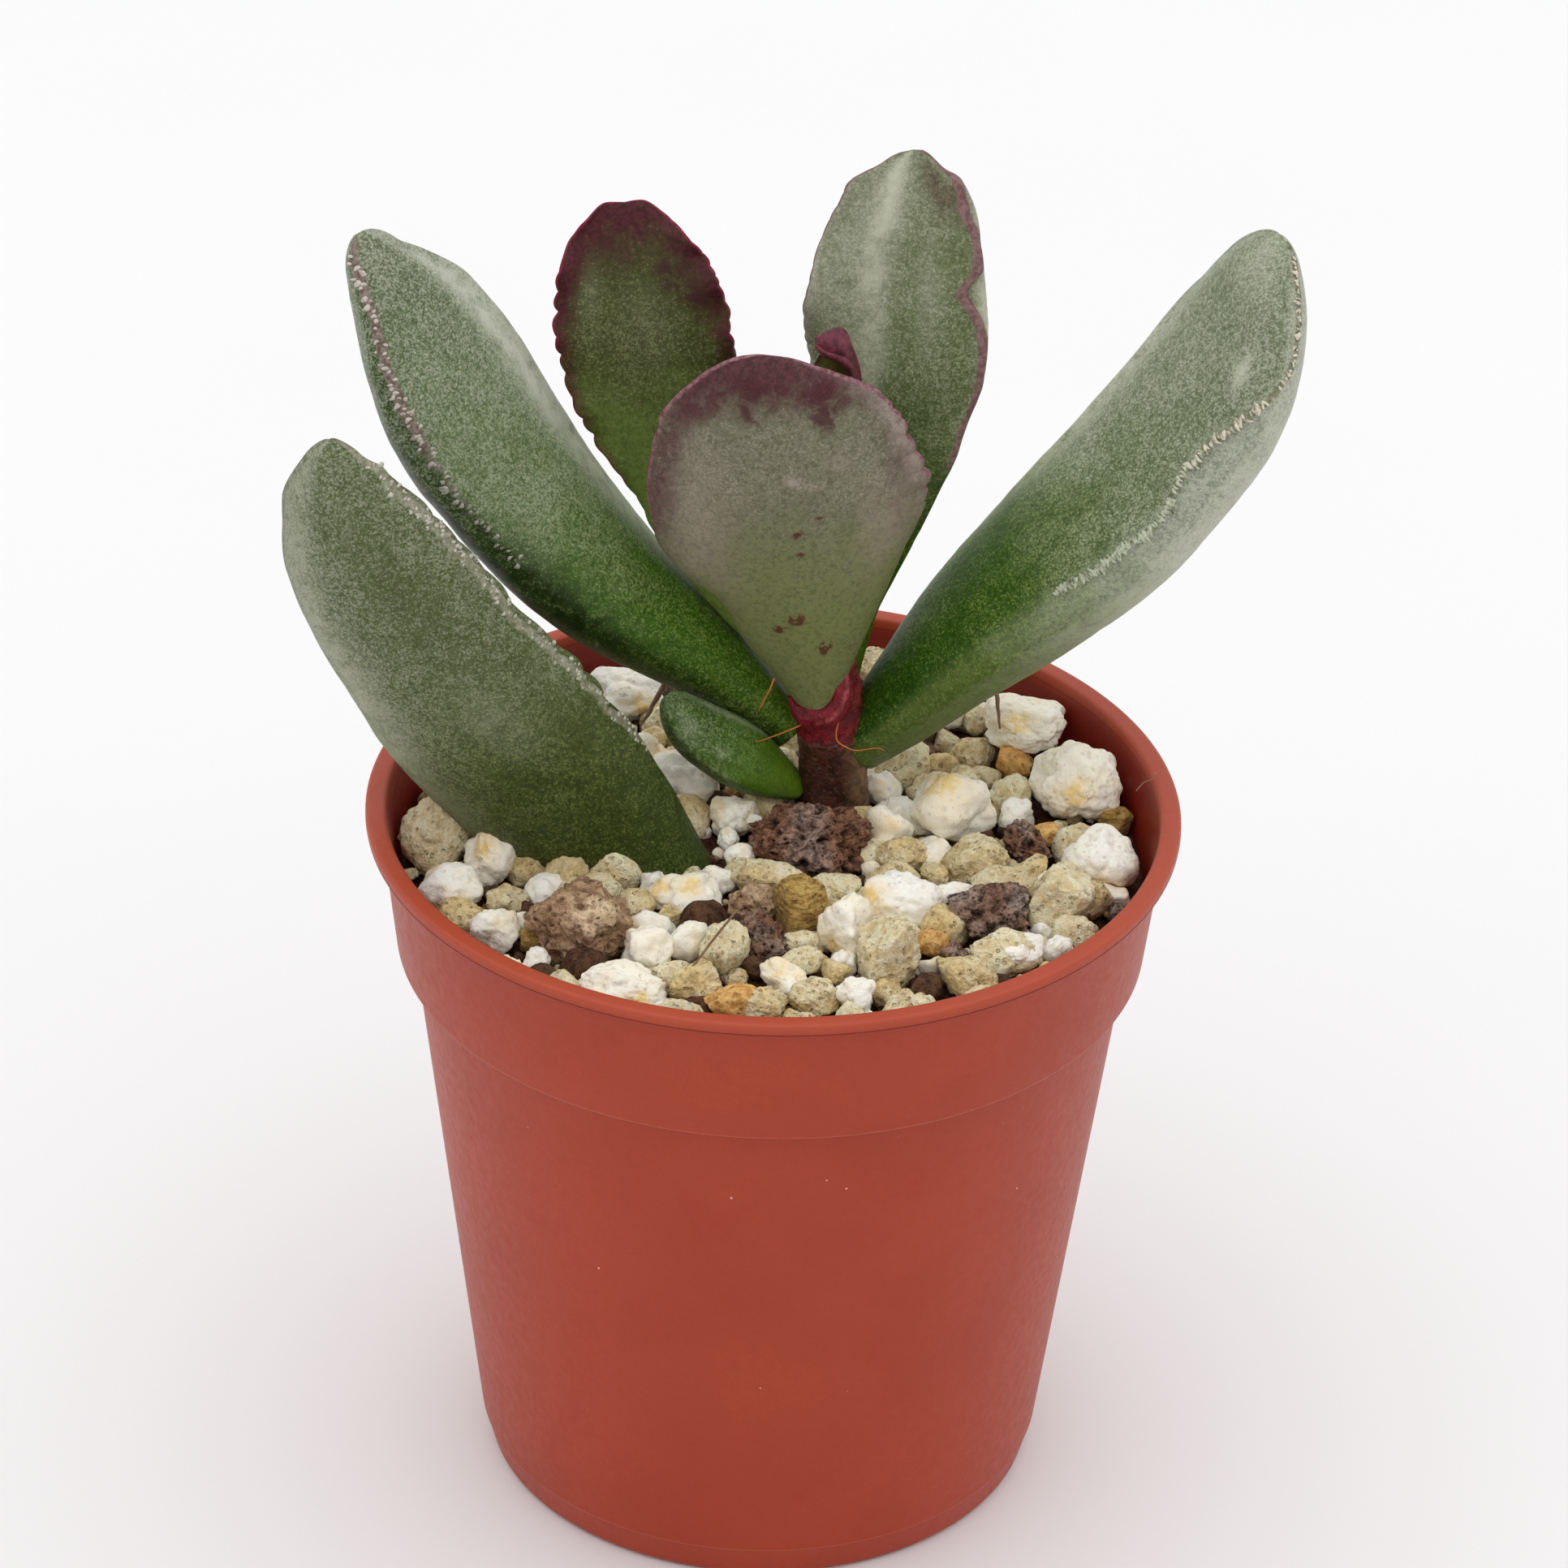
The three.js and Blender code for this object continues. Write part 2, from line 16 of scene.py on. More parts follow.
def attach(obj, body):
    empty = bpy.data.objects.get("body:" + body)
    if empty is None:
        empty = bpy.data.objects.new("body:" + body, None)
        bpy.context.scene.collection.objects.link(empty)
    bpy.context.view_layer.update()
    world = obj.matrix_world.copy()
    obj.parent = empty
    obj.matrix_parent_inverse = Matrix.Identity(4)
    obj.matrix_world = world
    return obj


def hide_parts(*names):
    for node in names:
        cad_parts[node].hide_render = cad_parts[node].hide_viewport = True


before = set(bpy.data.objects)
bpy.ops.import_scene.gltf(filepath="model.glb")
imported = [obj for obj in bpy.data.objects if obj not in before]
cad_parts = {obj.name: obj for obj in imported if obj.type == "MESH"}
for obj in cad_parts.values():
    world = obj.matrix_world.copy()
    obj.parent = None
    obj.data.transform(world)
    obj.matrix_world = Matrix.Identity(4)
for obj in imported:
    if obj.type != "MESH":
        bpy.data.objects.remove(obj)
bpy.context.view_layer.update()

MM = 0.001

# Camera: where it stands, how steeply it looks down and how far it is rolled
CAMERA_PLACE = (0.66, -436.53, 318.29)
CAMERA_SLOPE = 31.36
CAMERA_ROLL = 1.53
CAMERA_LENS = 174.38
SENSOR_WIDTH = 36
CAMERA_RANGE = (0.01, 20)

# One wide soft light above the plant, a white room and a pale floor
LIGHT_PLACE = (0, 40, 800)
LIGHT_TARGET = (0, 0, 50)
LIGHT_SIZE = 1300
LIGHT_POWER = 3.1
ROOM_BRIGHTNESS = 0.88
FLOOR_REACH = 4000

# Pot, as in the part
POT_HEIGHT = 50.7
RIM_RADIUS = 27.5
RIM_THICKNESS = 0.9
LIP_WIDTH = 1.35
COLLAR_TOP_RADIUS = 26.5
COLLAR_BOTTOM_RADIUS = 25.4
COLLAR_BOTTOM = 40.5
LEDGE_HEIGHT = 0.9
BODY_TOP_RADIUS = 24.2
FOOT_HEIGHT = 2.6
FOOT_TOP_RADIUS = 19.5
BASE_RADIUS = 18.9
BASE_BEVEL = 0.4
WALL = 0.9
FLOOR = 1.2
POT_SIDES = 192
POT_FACE_LENGTH = 3.5
POT_EDGE_ANGLE = 35
DRAIN_HOLES = 6
DRAIN_RADIUS = 2
DRAIN_CIRCLE = 12
DRAIN_SIDES = 32

# Potting mix
MIX_LEVEL = 46
SOIL_LEVEL = 45.5
SOIL_ROUGHNESS = 0.7
SOIL_RINGS = 40
SOIL_SIDES = 120
SOIL_SUNK = 0.2
MIX_GAP = 0.3
WALL_GAP = 0.05

# Stones, as in the part: how they sit on the mix, the seeds that draw their shapes, the rounded lobes of
# perlite, and the cut faces of the other kinds. A cut reaches no further out than at the cosine STEEPEST.
STONE_RISE = 0.3
STONE_LIFT = 0.35
NAMED_STONES = 24
NAMED_TONE_SEED = 900
CHIP_SEED = 300
PIT_SEED = 500
TURN_SEED = 2000
LOBE_COUNT = 6
LOBE_SIZE = 0.3
LOBE_SHARPNESS = 4
ROUND_CORE = 0.92
FACE_COUNT = 11
FACE_NEAREST = 0.8
FACE_RANGE = 0.22
CORNER_REACH = 1.12
EDGE_SOFTNESS = 0.018
STEEPEST = 0.3

# Kind, x, y, half width, half height and the extra height of a stone that leans on others.
# The first ones have a node of their own in the part.
STONES = [
    ("rose", -12.5, -10.5, 3.7, 3.1),
    ("lava", 2.4, 1, 4, 2.6),
    ("perlite", 20.8, 7.8, 3.3, 2.9, 0.7),
    ("perlite", 12.1, 5.2, 3.1, 2.7),
    ("perlite", 8.8, -6.4, 2.8, 2.5),
    ("perlite", 22.4, -0.9, 2.8, 2.5, 0.2),
    ("pumice", 8, -13.6, 2.2, 3),
    ("perlite", -10.5, 19.4, 2.8, 2.4),
    ("pumice", -22.6, 0, 2.4, 2.6, 0.2),
    ("pumice", 19.4, -5.8, 2.3, 2.6),
    ("perlite", -5.9, 8.6, 2.6, 2.3),
    ("lava", 14.9, -7.4, 3, 1.9),
    ("perlite", -9.8, -17.8, 3.3, 1.7),
    ("perlite", 17.2, 14.6, 3.3, 1.7, 1.6),
    ("perlite", 5, -10, 2, 2.6),
    ("perlite", -5.7, -5.8, 2.7, 1.9),
    ("bark", 2.1, -8.1, 2, 2.5),
    ("pumice", 13.9, -0.8, 2.4, 1.8),
    ("perlite", -8, -13.1, 2, 2.1),
    ("perlite", -19.2, -2.4, 1.9, 2.2),
    ("pumice", 15.7, -12.1, 2.5, 1.6),
    ("perlite", -21.3, -6.1, 2, 1.9),
    ("pumice", -3, -12.9, 1.6, 2.3),
    ("pumice", 9.1, 11.1, 1.9, 2),
    ("pumice", -0.5, -3.4, 2.5, 1.4),
    ("perlite", -18.4, -11, 1.8, 1.8),
    ("lava", -0.5, -11.6, 1.7, 2),
    ("pumice", 13, -15.2, 2.1, 1.5),
    ("perlite", -2.8, 4.5, 1.7, 1.7),
    ("perlite", 7.8, 2.8, 1.5, 1.9),
    ("lava", 17.1, 1.9, 2.1, 1.3),
    ("pumice", -4.8, -16.9, 1.7, 1.6),
    ("rose", -1.2, -6.9, 1.8, 1.4),
    ("pumice", 16.2, 8.2, 1.9, 1.3),
    ("perlite", 5.8, -17.8, 1.6, 1.5),
    ("perlite", 12.5, -5.2, 1.6, 1.4),
    ("perlite", 16.6, -12.6, 1.9, 1.1, 0.7),
    ("perlite", -5.3, -12.1, 1.2, 1.8),
    ("amber", -2.2, -18.9, 1.7, 1.3),
    ("pumice", 13.5, 13.7, 1.7, 1.2),
    ("pumice", 3.1, -18, 1.6, 1.3),
    ("perlite", 7.6, 8.4, 1.4, 1.4),
    ("pumice", -0.3, -18.9, 1.7, 1.2),
    ("pumice", 8.8, -0.1, 1.7, 1.2),
    ("perlite", 1.1, -15.5, 1.8, 1.1),
    ("pumice", -9.2, -7.4, 1.5, 1.3),
    ("pumice", 17.4, -2, 1.5, 1.3),
    ("amber", 16.4, 12.2, 1.5, 1.2, 0.3),
    ("pumice", 21.6, -4.9, 1.3, 1.4),
    ("perlite", 16.5, 5.7, 1.4, 1.3),
]

# Smaller stones that only show here
SMALL_STONES = [
    ("pumice", 13.1, 10.2, 1.4, 1.1),
    ("pumice", 4.4, -3.9, 1.9, 0.9),
    ("pumice", 2.2, -13.5, 1.3, 1),
    ("pumice", 7, 23.6, 1.6, 1.4, 1),
    ("pumice", -17.8, -6.8, 1.5, 1.1),
    ("amber", 18.6, 3.4, 1.3, 0.9),
    ("amber", 10.8, -10.7, 1.1, 1),
    ("rose", -23.4, 6, 1.2, 1),
    ("bark", -15.7, -11.7, 1, 1),
    ("bark", 23.4, 5.6, 1.2, 1),
    ("lava", 12.2, -12.8, 1.1, 1.2),
    ("pumice", 11, -2, 1.1, 0.9),
    ("pumice", -8.4, 14.7, 1, 0.9),
    ("pumice", -6.7, -8.1, 1.1, 0.9),
    ("pumice", 4.4, -14.5, 1.1, 0.9),
    ("pumice", 13.9, 17.3, 1.2, 1, 0.8),
    ("pumice", 8.8, -18.3, 1.3, 1),
    ("perlite", -15.4, -14, 1.1, 1),
    ("perlite", -1.1, 4, 0.9, 0.8),
    ("perlite", 19.2, -10.6, 1.2, 1),
    ("perlite", 12.1, 17.3, 1.2, 1.1, 0.8),
    ("perlite", 16.5, 18.5, 1.1, 1, 0.8),
    ("perlite", -2, -0.3, 1.1, 0.9),
    ("perlite", -16.5, -9.1, 0.8, 0.7),
    ("perlite", -3.1, 1.9, 1, 0.8),
    ("perlite", 14.5, 19, 0.7, 0.7, 0.6),
    ("perlite", -1.5, -17, 0.6, 0.6),
]

# Filling stones, scattered wherever the others leave room: half widths tried, and shares by kind. Spread
# and flatness are least value and spread. KEPT_CLEAR is x, y and radius where the stem and the mother leaf
# go down into the mix.
FILL_SIZES = [1.8, 1.45, 1.1, 0.8]
FILL_TRIES = 900
FILL_REACH = 24.6
FILL_SEED = 7
FILL_FIRST_SEED = 300
FILL_CLOSENESS = 0.72
FILL_KINDS = [("perlite", 0.22), ("pumice", 0.68), ("lava", 0.78), ("soil", 0.92), ("amber", 0.93),
              ("bark", 0.97), ("rose", 1)]
FILL_DEPTH = -0.55
FILL_SPREAD = (0.85, 0.3)
FILL_FLATNESS = (0.8, 0.35)
KEPT_CLEAR = [(4.2, 8, 2.6), (-3.6, 1, 3.2), (-7, 0.6, 3.4)]

# Grit, strewn all over: half widths and depth as least value and spread, and shares by kind
GRIT_TRIES = 700
GRIT_SIZES = (0.28, 0.34)
GRIT_FLATNESS = 0.8
GRIT_DEPTH = (0.5, 0.3)
GRIT_SEED = 19
GRIT_FIRST_SEED = 1000
GRIT_KINDS = [("soil", 0.5), ("pumice", 0.76), ("perlite", 0.84), ("lava", 0.93), ("bark", 1)]

# Half widths from which stones get finer skins, and how fine a skin is that has pits and many lumps
LARGE_STONE = 3.2
MIDDLE_STONE = 1.5
SMALL_STONE = 0.95
TINY_STONE = 0.5
PITTED_FROM = 4

# Surface of each kind of stone, as shares of its half size: rounded lumps as pairs of their number and
# height, rough relief as pairs of its scale and height, chips cut off its corners, and pits as their number,
# smallest and largest radius and depth
STONE_RELIEF = {
    "perlite": {"lumps": ((7, 0.16), (26, 0.07), (130, 0.03)), "rough": ((1.5, 0.1), (5, 0.04)), "chips": 7,
                "pits": (22, 0.03, 0.1, 0.06)},
    "pumice": {"lumps": ((120, 0.015),), "rough": ((1.4, 0.09), (4, 0.06), (10, 0.05)), "chips": 11,
               "pits": (90, 0.03, 0.13, 0.12)},
    "lava": {"lumps": ((12, 0.1), (60, 0.06)), "rough": ((2, 0.12), (6, 0.12), (15, 0.07)), "chips": 7,
             "pits": (150, 0.05, 0.17, 0.17)},
    "rose": {"lumps": ((60, 0.03),), "rough": ((1.2, 0.2), (2.4, 0.12), (6, 0.08), (14, 0.04)), "chips": 12,
             "pits": (90, 0.04, 0.12, 0.09)},
    "bark": {"lumps": (), "rough": ((1.6, 0.04), (6, 0.04)), "chips": 3, "pits": (14, 0.06, 0.18, 0.08)},
    "amber": {"lumps": (), "rough": ((2, 0.08), (6, 0.05)), "chips": 10, "pits": (30, 0.05, 0.13, 0.07)},
    "soil": {"lumps": ((20, 0.1),), "rough": ((2, 0.12), (6, 0.06)), "chips": 6, "pits": (0, 0, 0, 0)},
}

# Chips: least reach and spread. Bark is cut to a box, turned by an angle. Tone swings over each stone.
# Coarse skins have no lumps where there would be MANY_LUMPS or more.
CHIP_REACH = (0.77, 0.2)
BARK_BOX = 0.8
BARK_TURN = 0.35
TONE_SWING = 0.55
MANY_LUMPS = 40

# Stem, as in the part, with a finer skin and a node scar that stands out round it
STEM_LINE = [
    (4.4, 8.2, 40), (4.2, 8, 45), (3.9, 7.8, 50),
    (3.8, 7.6, 53), (3.9, 7.6, 55.4), (4.1, 7.8, 57.4),
]
STEM_RADII = [2.3, 2.4, 2.35, 2.3, 1.9, 1.2]
STEM_END = 0.5
SCAR_HEIGHT = 52.1
SCAR_WIDTH = 0.28
SCAR_SIZE = 0.16
STEM_RINGS = 100
STEM_SIDES = 72

# Magenta fork at the top of the stem, which holds the base of the front leaf: upper and lower line,
# and its thickness along
FORK_UPPER = [(0.8, 5.7, 55.8), (1.65, 5.1, 55.45), (2.75, 4.8, 55.5), (3.6, 4.9, 56.1),
              (3.95, 5.2, 57.1), (4.2, 5.7, 58.1)]
FORK_LOWER = [(0.9, 5.7, 55.2), (1.4, 5.1, 54.3), (2.9, 4.9, 53.7), (4.4, 5, 54.4), (5.2, 5.4, 55.9),
              (5.1, 5.9, 57.4)]
FORK_THICKNESS = (0.15, 0.5, 0.75, 0.7, 0.55, 0.25)

# Thin roots and fibres: points and half thickness
ROOTS = {
    "root_left": ([(-0.2, 4.4, 57.85), (-0.5, 4.3, 57), (-0.95, 4.4, 55.9), (-1.2, 4.6, 55.2)], 0.065),
    "root_low": ([(1.9, 4.9, 54.1), (1.05, 4.7, 53.75), (0.1, 4.8, 53.2), (-0.85, 5, 52.65),
                  (-1.35, 5.2, 52.35)], 0.055),
    "root_right": ([(4.3, 4.9, 54.6), (4.1, 4.6, 53.6), (4.25, 4.5, 52.95), (4.9, 4.4, 52.55),
                    (5.6, 4.2, 52.5), (6.9, 4, 52.85), (7.4, 3.9, 52.75)], 0.055),
}
FIBRES = {
    "twig_left": ([(-7.4, 14.4, 52.1), (-8.3, 13.4, 50.7), (-9.3, 12, 49.3)], 0.2),
    "twig_right": ([(15.1, 14, 51.9), (15.2, 13, 51.3), (15.4, 12, 49.9)], 0.16),
    "fibre_front": ([(-2.2, -12.9, 50.3), (-3.6, -14.8, 49.3), (-5, -16.6, 48.2),
                     (-6.4, -18.2, 47.3)], 0.09),
    "fibre_rim": ([(24.5, 3, 50.6), (25, 3.5, 50.95), (25.7, 4.1, 50.95), (26.3, 4.9, 51.1)], 0.05),
}

# Leaf skins: rings along, and points round the section, which lie closest on the margins
LEAF_STATIONS = 248
SMALL_LEAF_STATIONS = 110
SMALL_LEAF_WIDTH = 3
MARGIN_POINTS = 11
FACE_POINTS = 26
BACK_POINTS = 26
LEAF_SIDES = 2 * MARGIN_POINTS + FACE_POINTS + BACK_POINTS
CRESTS = (MARGIN_POINTS // 2, MARGIN_POINTS + FACE_POINTS + MARGIN_POINTS // 2)
LEAF_END = 0.4
LEAF_SEED_STEP = 100
THINNEST = 0.1

# Margins: the raised ridge, waves, lobes, and how far apart the points are that smooth an outline
RIDGE_HALF_WIDTH = 0.55
RIDGE_ANGLES = (0.06, 0.4)
RIDGE_FADE = 0.2
WAVE_FULL = 0.6
WAVE_EDGE = 6
SMOOTHING = 13
LOBE_FADE = 0.1
LOBE_UNEVEN = (0.6, 0.5)
LOBE_ROUND = (0.7, 0.6)
NARROW = 3

# Unevenness of the faces: depth, and cells a millimetre
WIDE_DENTS = (0.12, 0.16)
FINE_DENTS = (0.035, 0.7)

# Crusts on the margins. Sizes, heights and gaps are least value and spread. A wide gap is as likely as the
# first number says, and as much wider as the second. Crusts over LONG_KNOB in half length are finer.
KNOB_SIZES = (0.62, 0.75)
KNOB_HEIGHTS = (0.45, 0.4)
KNOB_GAPS = (0.55, 0.9)
KNOB_WIDE_GAP = (0.14, 2.2)
KNOB_UNEVEN = 0.45
KNOB_DROOP = 0.25
KNOB_BEND = 0.9
KNOB_SUNK = 0.05
KNOB_TURN = 1.1
LONG_KNOB = 0.3

# Tip: where its outline begins to count, and the line across the leaf that it is read on
TIP_REACH = (0.7, 0.95)
TIP_SPAN = 10
TIP_STEPS = 181

# Leaves, as in the part. spine is the middle line, and face is the way the inner face looks at the base and
# at the tip. inner and outer are how deep the two faces are. shape and depth say how width and depth run
# along: place of the peak, share at the base, flare and bluntness. The margins stand out by ridge, from
# bare_to on, wave in and out by a size and a number of times, and bend inward by cup. tip moves the end of
# the leaf outward at places across. lift_drop is where the margins come down to the widest line.
# The two margins have their own lift in degrees, then pairs of size and pitch in millimetres: meander up and
# down the section (its size in radians), drift in and out, and rounded lobes, with where they begin. outline
# moves a margin outward at places along the leaf. rim is how strongly its band is coloured, and how wide it
# is. knobs are crusts: from and to along the leaf, pitch, half width, half length and scatter.
# stains, drips, sheen_blooms and spots are soft marks: face (1 inner, -1 outer), along, across, their reach
# along and across, and strength. sheen_blooms are pale waxy bloom with painted sheen and highlights on it.
PLAIN_LEAF = {
    "slot": "leaf_green", "lift_drop": (1.1, 1.4), "wave": (0, 0), "cup": 0, "tip": [(0, 0)],
    "stains": [], "drips": [], "sheen_blooms": [], "spots": [],
}
PLAIN_MARGIN = {
    "lift": 0, "meander": (0.03, 3.2), "drift": (0.1, 2.5), "lobes": (0, 1, 1),
    "outline": 0, "rim": (0, 0.4), "knobs": None,
}
LEAVES = {
    "right_leaf": {
        "spine": [(4.9, 7.5, 50.5), (11.6, 8.5, 58.6), (18, 9.5, 64.9), (23.2, 10.5, 70),
                  (29.2, 11.5, 78.6), (32.6, 12.5, 88.2)],
        "face": [(-0.73, -0.25, 0.63), (-0.85, -0.4, 0.34)], "half_width": 8, "inner": 3.3, "outer": 5.5,
        "shape": (0.68, 0.15, 0.7, 2.15), "depth": (0.45, 0.45, 1, 2), "ridge": 0.35, "bare_to": 0.34,
        "margins": (
            {"lift": [(0.4, 37), (0.5, 34), (0.61, 29), (0.65, 33), (0.675, 41), (0.702, 46), (0.735, 42),
                      (0.77, 32), (0.811, 21), (0.849, 0), (0.87, -8), (0.9, -13), (0.94, -16), (1, -18)],
             "meander": (0.06, 2.6), "rim": (0.6, 0.35), "knobs": (0.4, 0.99, 0.22, 0.12, 0.36, 0.08),
             "outline": [(0.35, 0), (0.42, 0.2), (0.47, 0.35), (0.52, 0.2), (0.6, -0.08), (0.7, -0.2),
                         (0.76, -0.05), (0.81, -0.1), (0.86, -0.4), (0.9, -0.6), (0.95, -0.85),
                         (1, -0.7)]},
            {"lift": [(0.76, 37), (0.81, 20), (0.87, 0)], "drift": (0.2, 3.6),
             "outline": [(0.1, 0), (0.2, -0.25), (0.35, -0.35), (0.5, -0.15), (0.7, -0.2), (0.75, 0),
                         (0.85, 0.25), (0.9, 0.05), (0.95, -0.2), (1, -0.5)]},
        ),
        "sheen_blooms": [(1, 0.6, -0.8, 0.35, 0.22, 0.7), (1, 0.84, 0.66, 0.025, 0.07, 0.8),
                   (-1, 0.62, 0.7, 0.35, 0.5, 0.7), (-1, 0.75, 0.1, 0.35, 0.6, 0.6),
                   (1, 0.98, 0.2, 0.05, 0.6, 0.4)],
    },
    "left_leaf": {
        "spine": [(1.2, 8.3, 51.6), (-4.7, 9.2, 56.3), (-12.3, 9.9, 62.7), (-19, 10.6, 71),
                  (-23.8, 11.3, 79), (-28.7, 12, 86.7)],
        "face": [(0.52, -0.48, 0.71), (0.66, -0.57, 0.49)], "half_width": 7, "inner": 3, "outer": 3.9,
        "shape": (0.68, 0.2, 1.8, 1.6), "depth": (0.45, 0.45, 1, 2), "ridge": 0.35, "bare_to": 0.42,
        "margins": (
            {"lift": 30, "drift": (0.2, 4),
             "outline": [(0.05, 0.6), (0.15, 0.95), (0.25, 0.85), (0.35, 0.3), (0.5, -0.2), (0.6, -0.42),
                         (0.65, -0.36), (0.75, -0.06), (0.8, 0), (0.85, 0.27), (0.9, -0.42),
                         (0.95, -1.05), (1, -0.5)]},
            {"lift": 30, "meander": (0.05, 2.4), "drift": (0.15, 2),
             "rim": ([(0.45, 0), (0.6, 0.3), (0.72, 0.65), (0.8, 0.95), (1, 1)], 0.46),
             "knobs": (0.5, 0.985, 0.27, 0.14, 0.24, 0.42),
             "outline": [(0.6, 0), (0.65, 0.2), (0.75, 0.22), (0.8, 0), (0.85, -0.17), (0.9, -0.75),
                         (0.95, -0.65), (1, -0.1)]},
        ),
        # The first drip, on the outer face, paints the shade that the mother leaf casts on this leaf
        "drips": [(-1, 0.55, -0.9, 0.25, 0.5, 0.8), (1, 0.42, -0.95, 0.14, 0.3, 0.7)],
        "sheen_blooms": [(1, 0.72, 0.68, 0.3, 0.2, 1.05), (1, 0.4, 0.8, 0.3, 0.2, 0.5),
                   (1, 0.97, -0.2, 0.05, 0.5, 0.1), (-1, 0.8, -0.7, 0.25, 0.4, 0.6)],
    },
    "front_leaf": {
        "slot": "leaf_grey",
        "spine": [(2.9, 6.1, 54.6), (1.5, 5.2, 63.6), (0.5, 4.2, 71.2), (-0.3, 3.3, 77.8),
                  (-0.6, 2.5, 83.5)],
        "face": [(-0.08, 0.99, 0.06), (-0.04, 0.99, 0.16)], "half_width": 9.3, "inner": 1.2, "outer": 2.2,
        "shape": (0.54, 0.14, 1.15, 1.9), "depth": (0.35, 0.6, 1, 2), "ridge": 0.3, "bare_to": 0.35,
        "cup": 0.8,
        "tip": [(-7, 0), (-5, -0.35), (-4, -0.5), (-2.5, -0.6), (-0.5, -0.1), (1.4, 0.25), (2.9, 0.35),
                (4.7, 0.2), (5.6, 0.05), (6.6, 0.1), (8, 0.35), (9, 0.1)],
        "margins": (
            {"drift": (0.12, 1.3), "lobes": (0.1, 1.3, 0.8), "rim": (0.8, 0.4),
             "outline": [(0, -0.3), (0.14, -0.35), (0.19, -0.5), (0.24, -1), (0.29, -1), (0.32, -0.45),
                         (0.355, -0.05), (0.42, 0.2), (0.5, 0), (0.85, -0.05), (1, -0.2)]},
            {"drift": (0.14, 1.3), "lobes": (0.24, 1.5, 0.85), "rim": (0.8, 0.4),
             "outline": [(0, 0), (0.15, -0.2), (0.28, -0.4), (0.35, -0.45), (0.42, -0.1), (0.5, 0.1),
                         (0.53, 0.25), (0.56, 0.05), (0.6, -0.25), (0.7, -0.35), (0.8, -0.2), (0.9, -0.3),
                         (1, -0.3)]},
        ),
        "stains": [(-1, 1, 0.1, 0.14, 1.6, 1.3), (-1, 0.75, 0.93, 0.22, 0.2, 0.5),
                   (-1, 0.72, -0.93, 0.25, 0.2, 0.35), (-1, 0.55, 0.98, 0.16, 0.16, 0.5),
                   (-1, 0.5, -0.85, 0.14, 0.3, 0.3), (1, 1, 0, 0.2, 1.4, 1),
                   (1, 0.75, 0.9, 0.3, 0.2, 0.8), (1, 0.75, -0.9, 0.3, 0.2, 0.8)],
        "drips": [(-1, 0.9, 0.3, 0.05, 0.5, 0.9), (-1, 0.87, -0.45, 0.06, 0.22, 0.9),
                  (-1, 0.84, 0.75, 0.05, 0.2, 0.8), (-1, 0.83, 0.28, 0.035, 0.14, 0.8),
                  (-1, 0.81, -0.42, 0.05, 0.1, 0.9), (-1, 0.9, -0.75, 0.06, 0.15, 0.7)],
        "sheen_blooms": [(-1, 0.45, -0.72, 0.12, 0.2, 0.5), (-1, 0.5, 0.7, 0.2, 0.25, 0.45),
                   (-1, 0.625, -0.06, 0.014, 0.06, 0.9), (-1, 0.605, -0.18, 0.012, 0.05, 0.8),
                   (-1, 0.7, -0.98, 0.2, 0.08, 0.8), (-1, 0.66, -0.45, 0.03, 0.08, 0.35)],
        "spots": [(-1, 0.247, 0.07, 0.016, 0.1, 1), (-1, 0.225, 0.3, 0.01, 0.1, 0.9),
                  (-1, 0.167, -0.25, 0.018, 0.1, 1), (-1, 0.472, -0.07, 0.02, 0.05, 0.8),
                  (-1, 0.418, -0.03, 0.012, 0.04, 0.7), (-1, 0.372, -0.17, 0.014, 0.05, 0.6),
                  (-1, 0.51, -0.21, 0.009, 0.03, 0.6), (-1, 0.514, -0.37, 0.009, 0.03, 0.5)],
    },
    "back_left_leaf": {
        "slot": "leaf_purple",
        "spine": [(2.4, 9.2, 54.4), (-2.8, 10.8, 61.4), (-6.4, 11.9, 68.8), (-8.8, 12.9, 75.8),
                  (-10.4, 14, 82.6), (-11, 15, 88.2)],
        "face": [(0.08, -0.97, 0.23), (-0.1, -0.98, 0.19)], "half_width": 5.9, "inner": 1.3, "outer": 1.8,
        "shape": (0.72, 0.15, 1.3, 1.6), "depth": (0.4, 0.6, 1, 2), "ridge": 0.3, "bare_to": 0.3,
        "wave": (0.4, 8), "cup": 0.6,
        "tip": [(-3.6, 0), (-2.6, -0.2), (-1.5, 0.3), (-0.1, -0.15), (1.4, 0.3), (2.6, -0.1), (3.6, 0)],
        "margins": (
            {"drift": (0.07, 1.1), "lobes": (0.12, 1.3, 0.9), "rim": (1, 0.24),
             "outline": [(0, 0), (0.6, 0.1), (0.75, 0.25), (0.9, 0.2), (1, 0)]},
            {"drift": (0.08, 1.2), "lobes": (0.3, 1.6, 0.8), "rim": (1, 0.28),
             "outline": [(0, 0), (0.3, -0.3), (0.35, -0.5), (0.4, -0.9), (0.45, -0.65), (0.5, -0.4),
                         (0.6, -0.1), (0.75, -0.28), (0.85, -0.38), (0.92, -0.2), (0.97, 0.1), (1, 0.2)]},
        ),
        "stains": [(1, 1, 0, 0.13, 1.4, 1.1), (1, 0.8, 0.95, 0.16, 0.3, 0.6),
                   (1, 0.85, -0.95, 0.16, 0.3, 0.7), (1, 0.62, 1, 0.2, 0.14, 0.5),
                   (1, 0.6, -1, 0.25, 0.12, 0.5), (-1, 0.9, 0, 0.25, 1.4, 0.8)],
        "drips": [(1, 0.82, 0.55, 0.06, 0.25, 0.8), (1, 0.745, 0.78, 0.05, 0.14, 0.8),
                  (1, 0.88, -0.3, 0.06, 0.3, 0.5)],
        "sheen_blooms": [(1, 0.8, -0.56, 0.05, 0.14, 0.4), (1, 0.72, 0.1, 0.08, 0.3, 0.25)],
    },
    "back_right_leaf": {
        "slot": "leaf_grey",
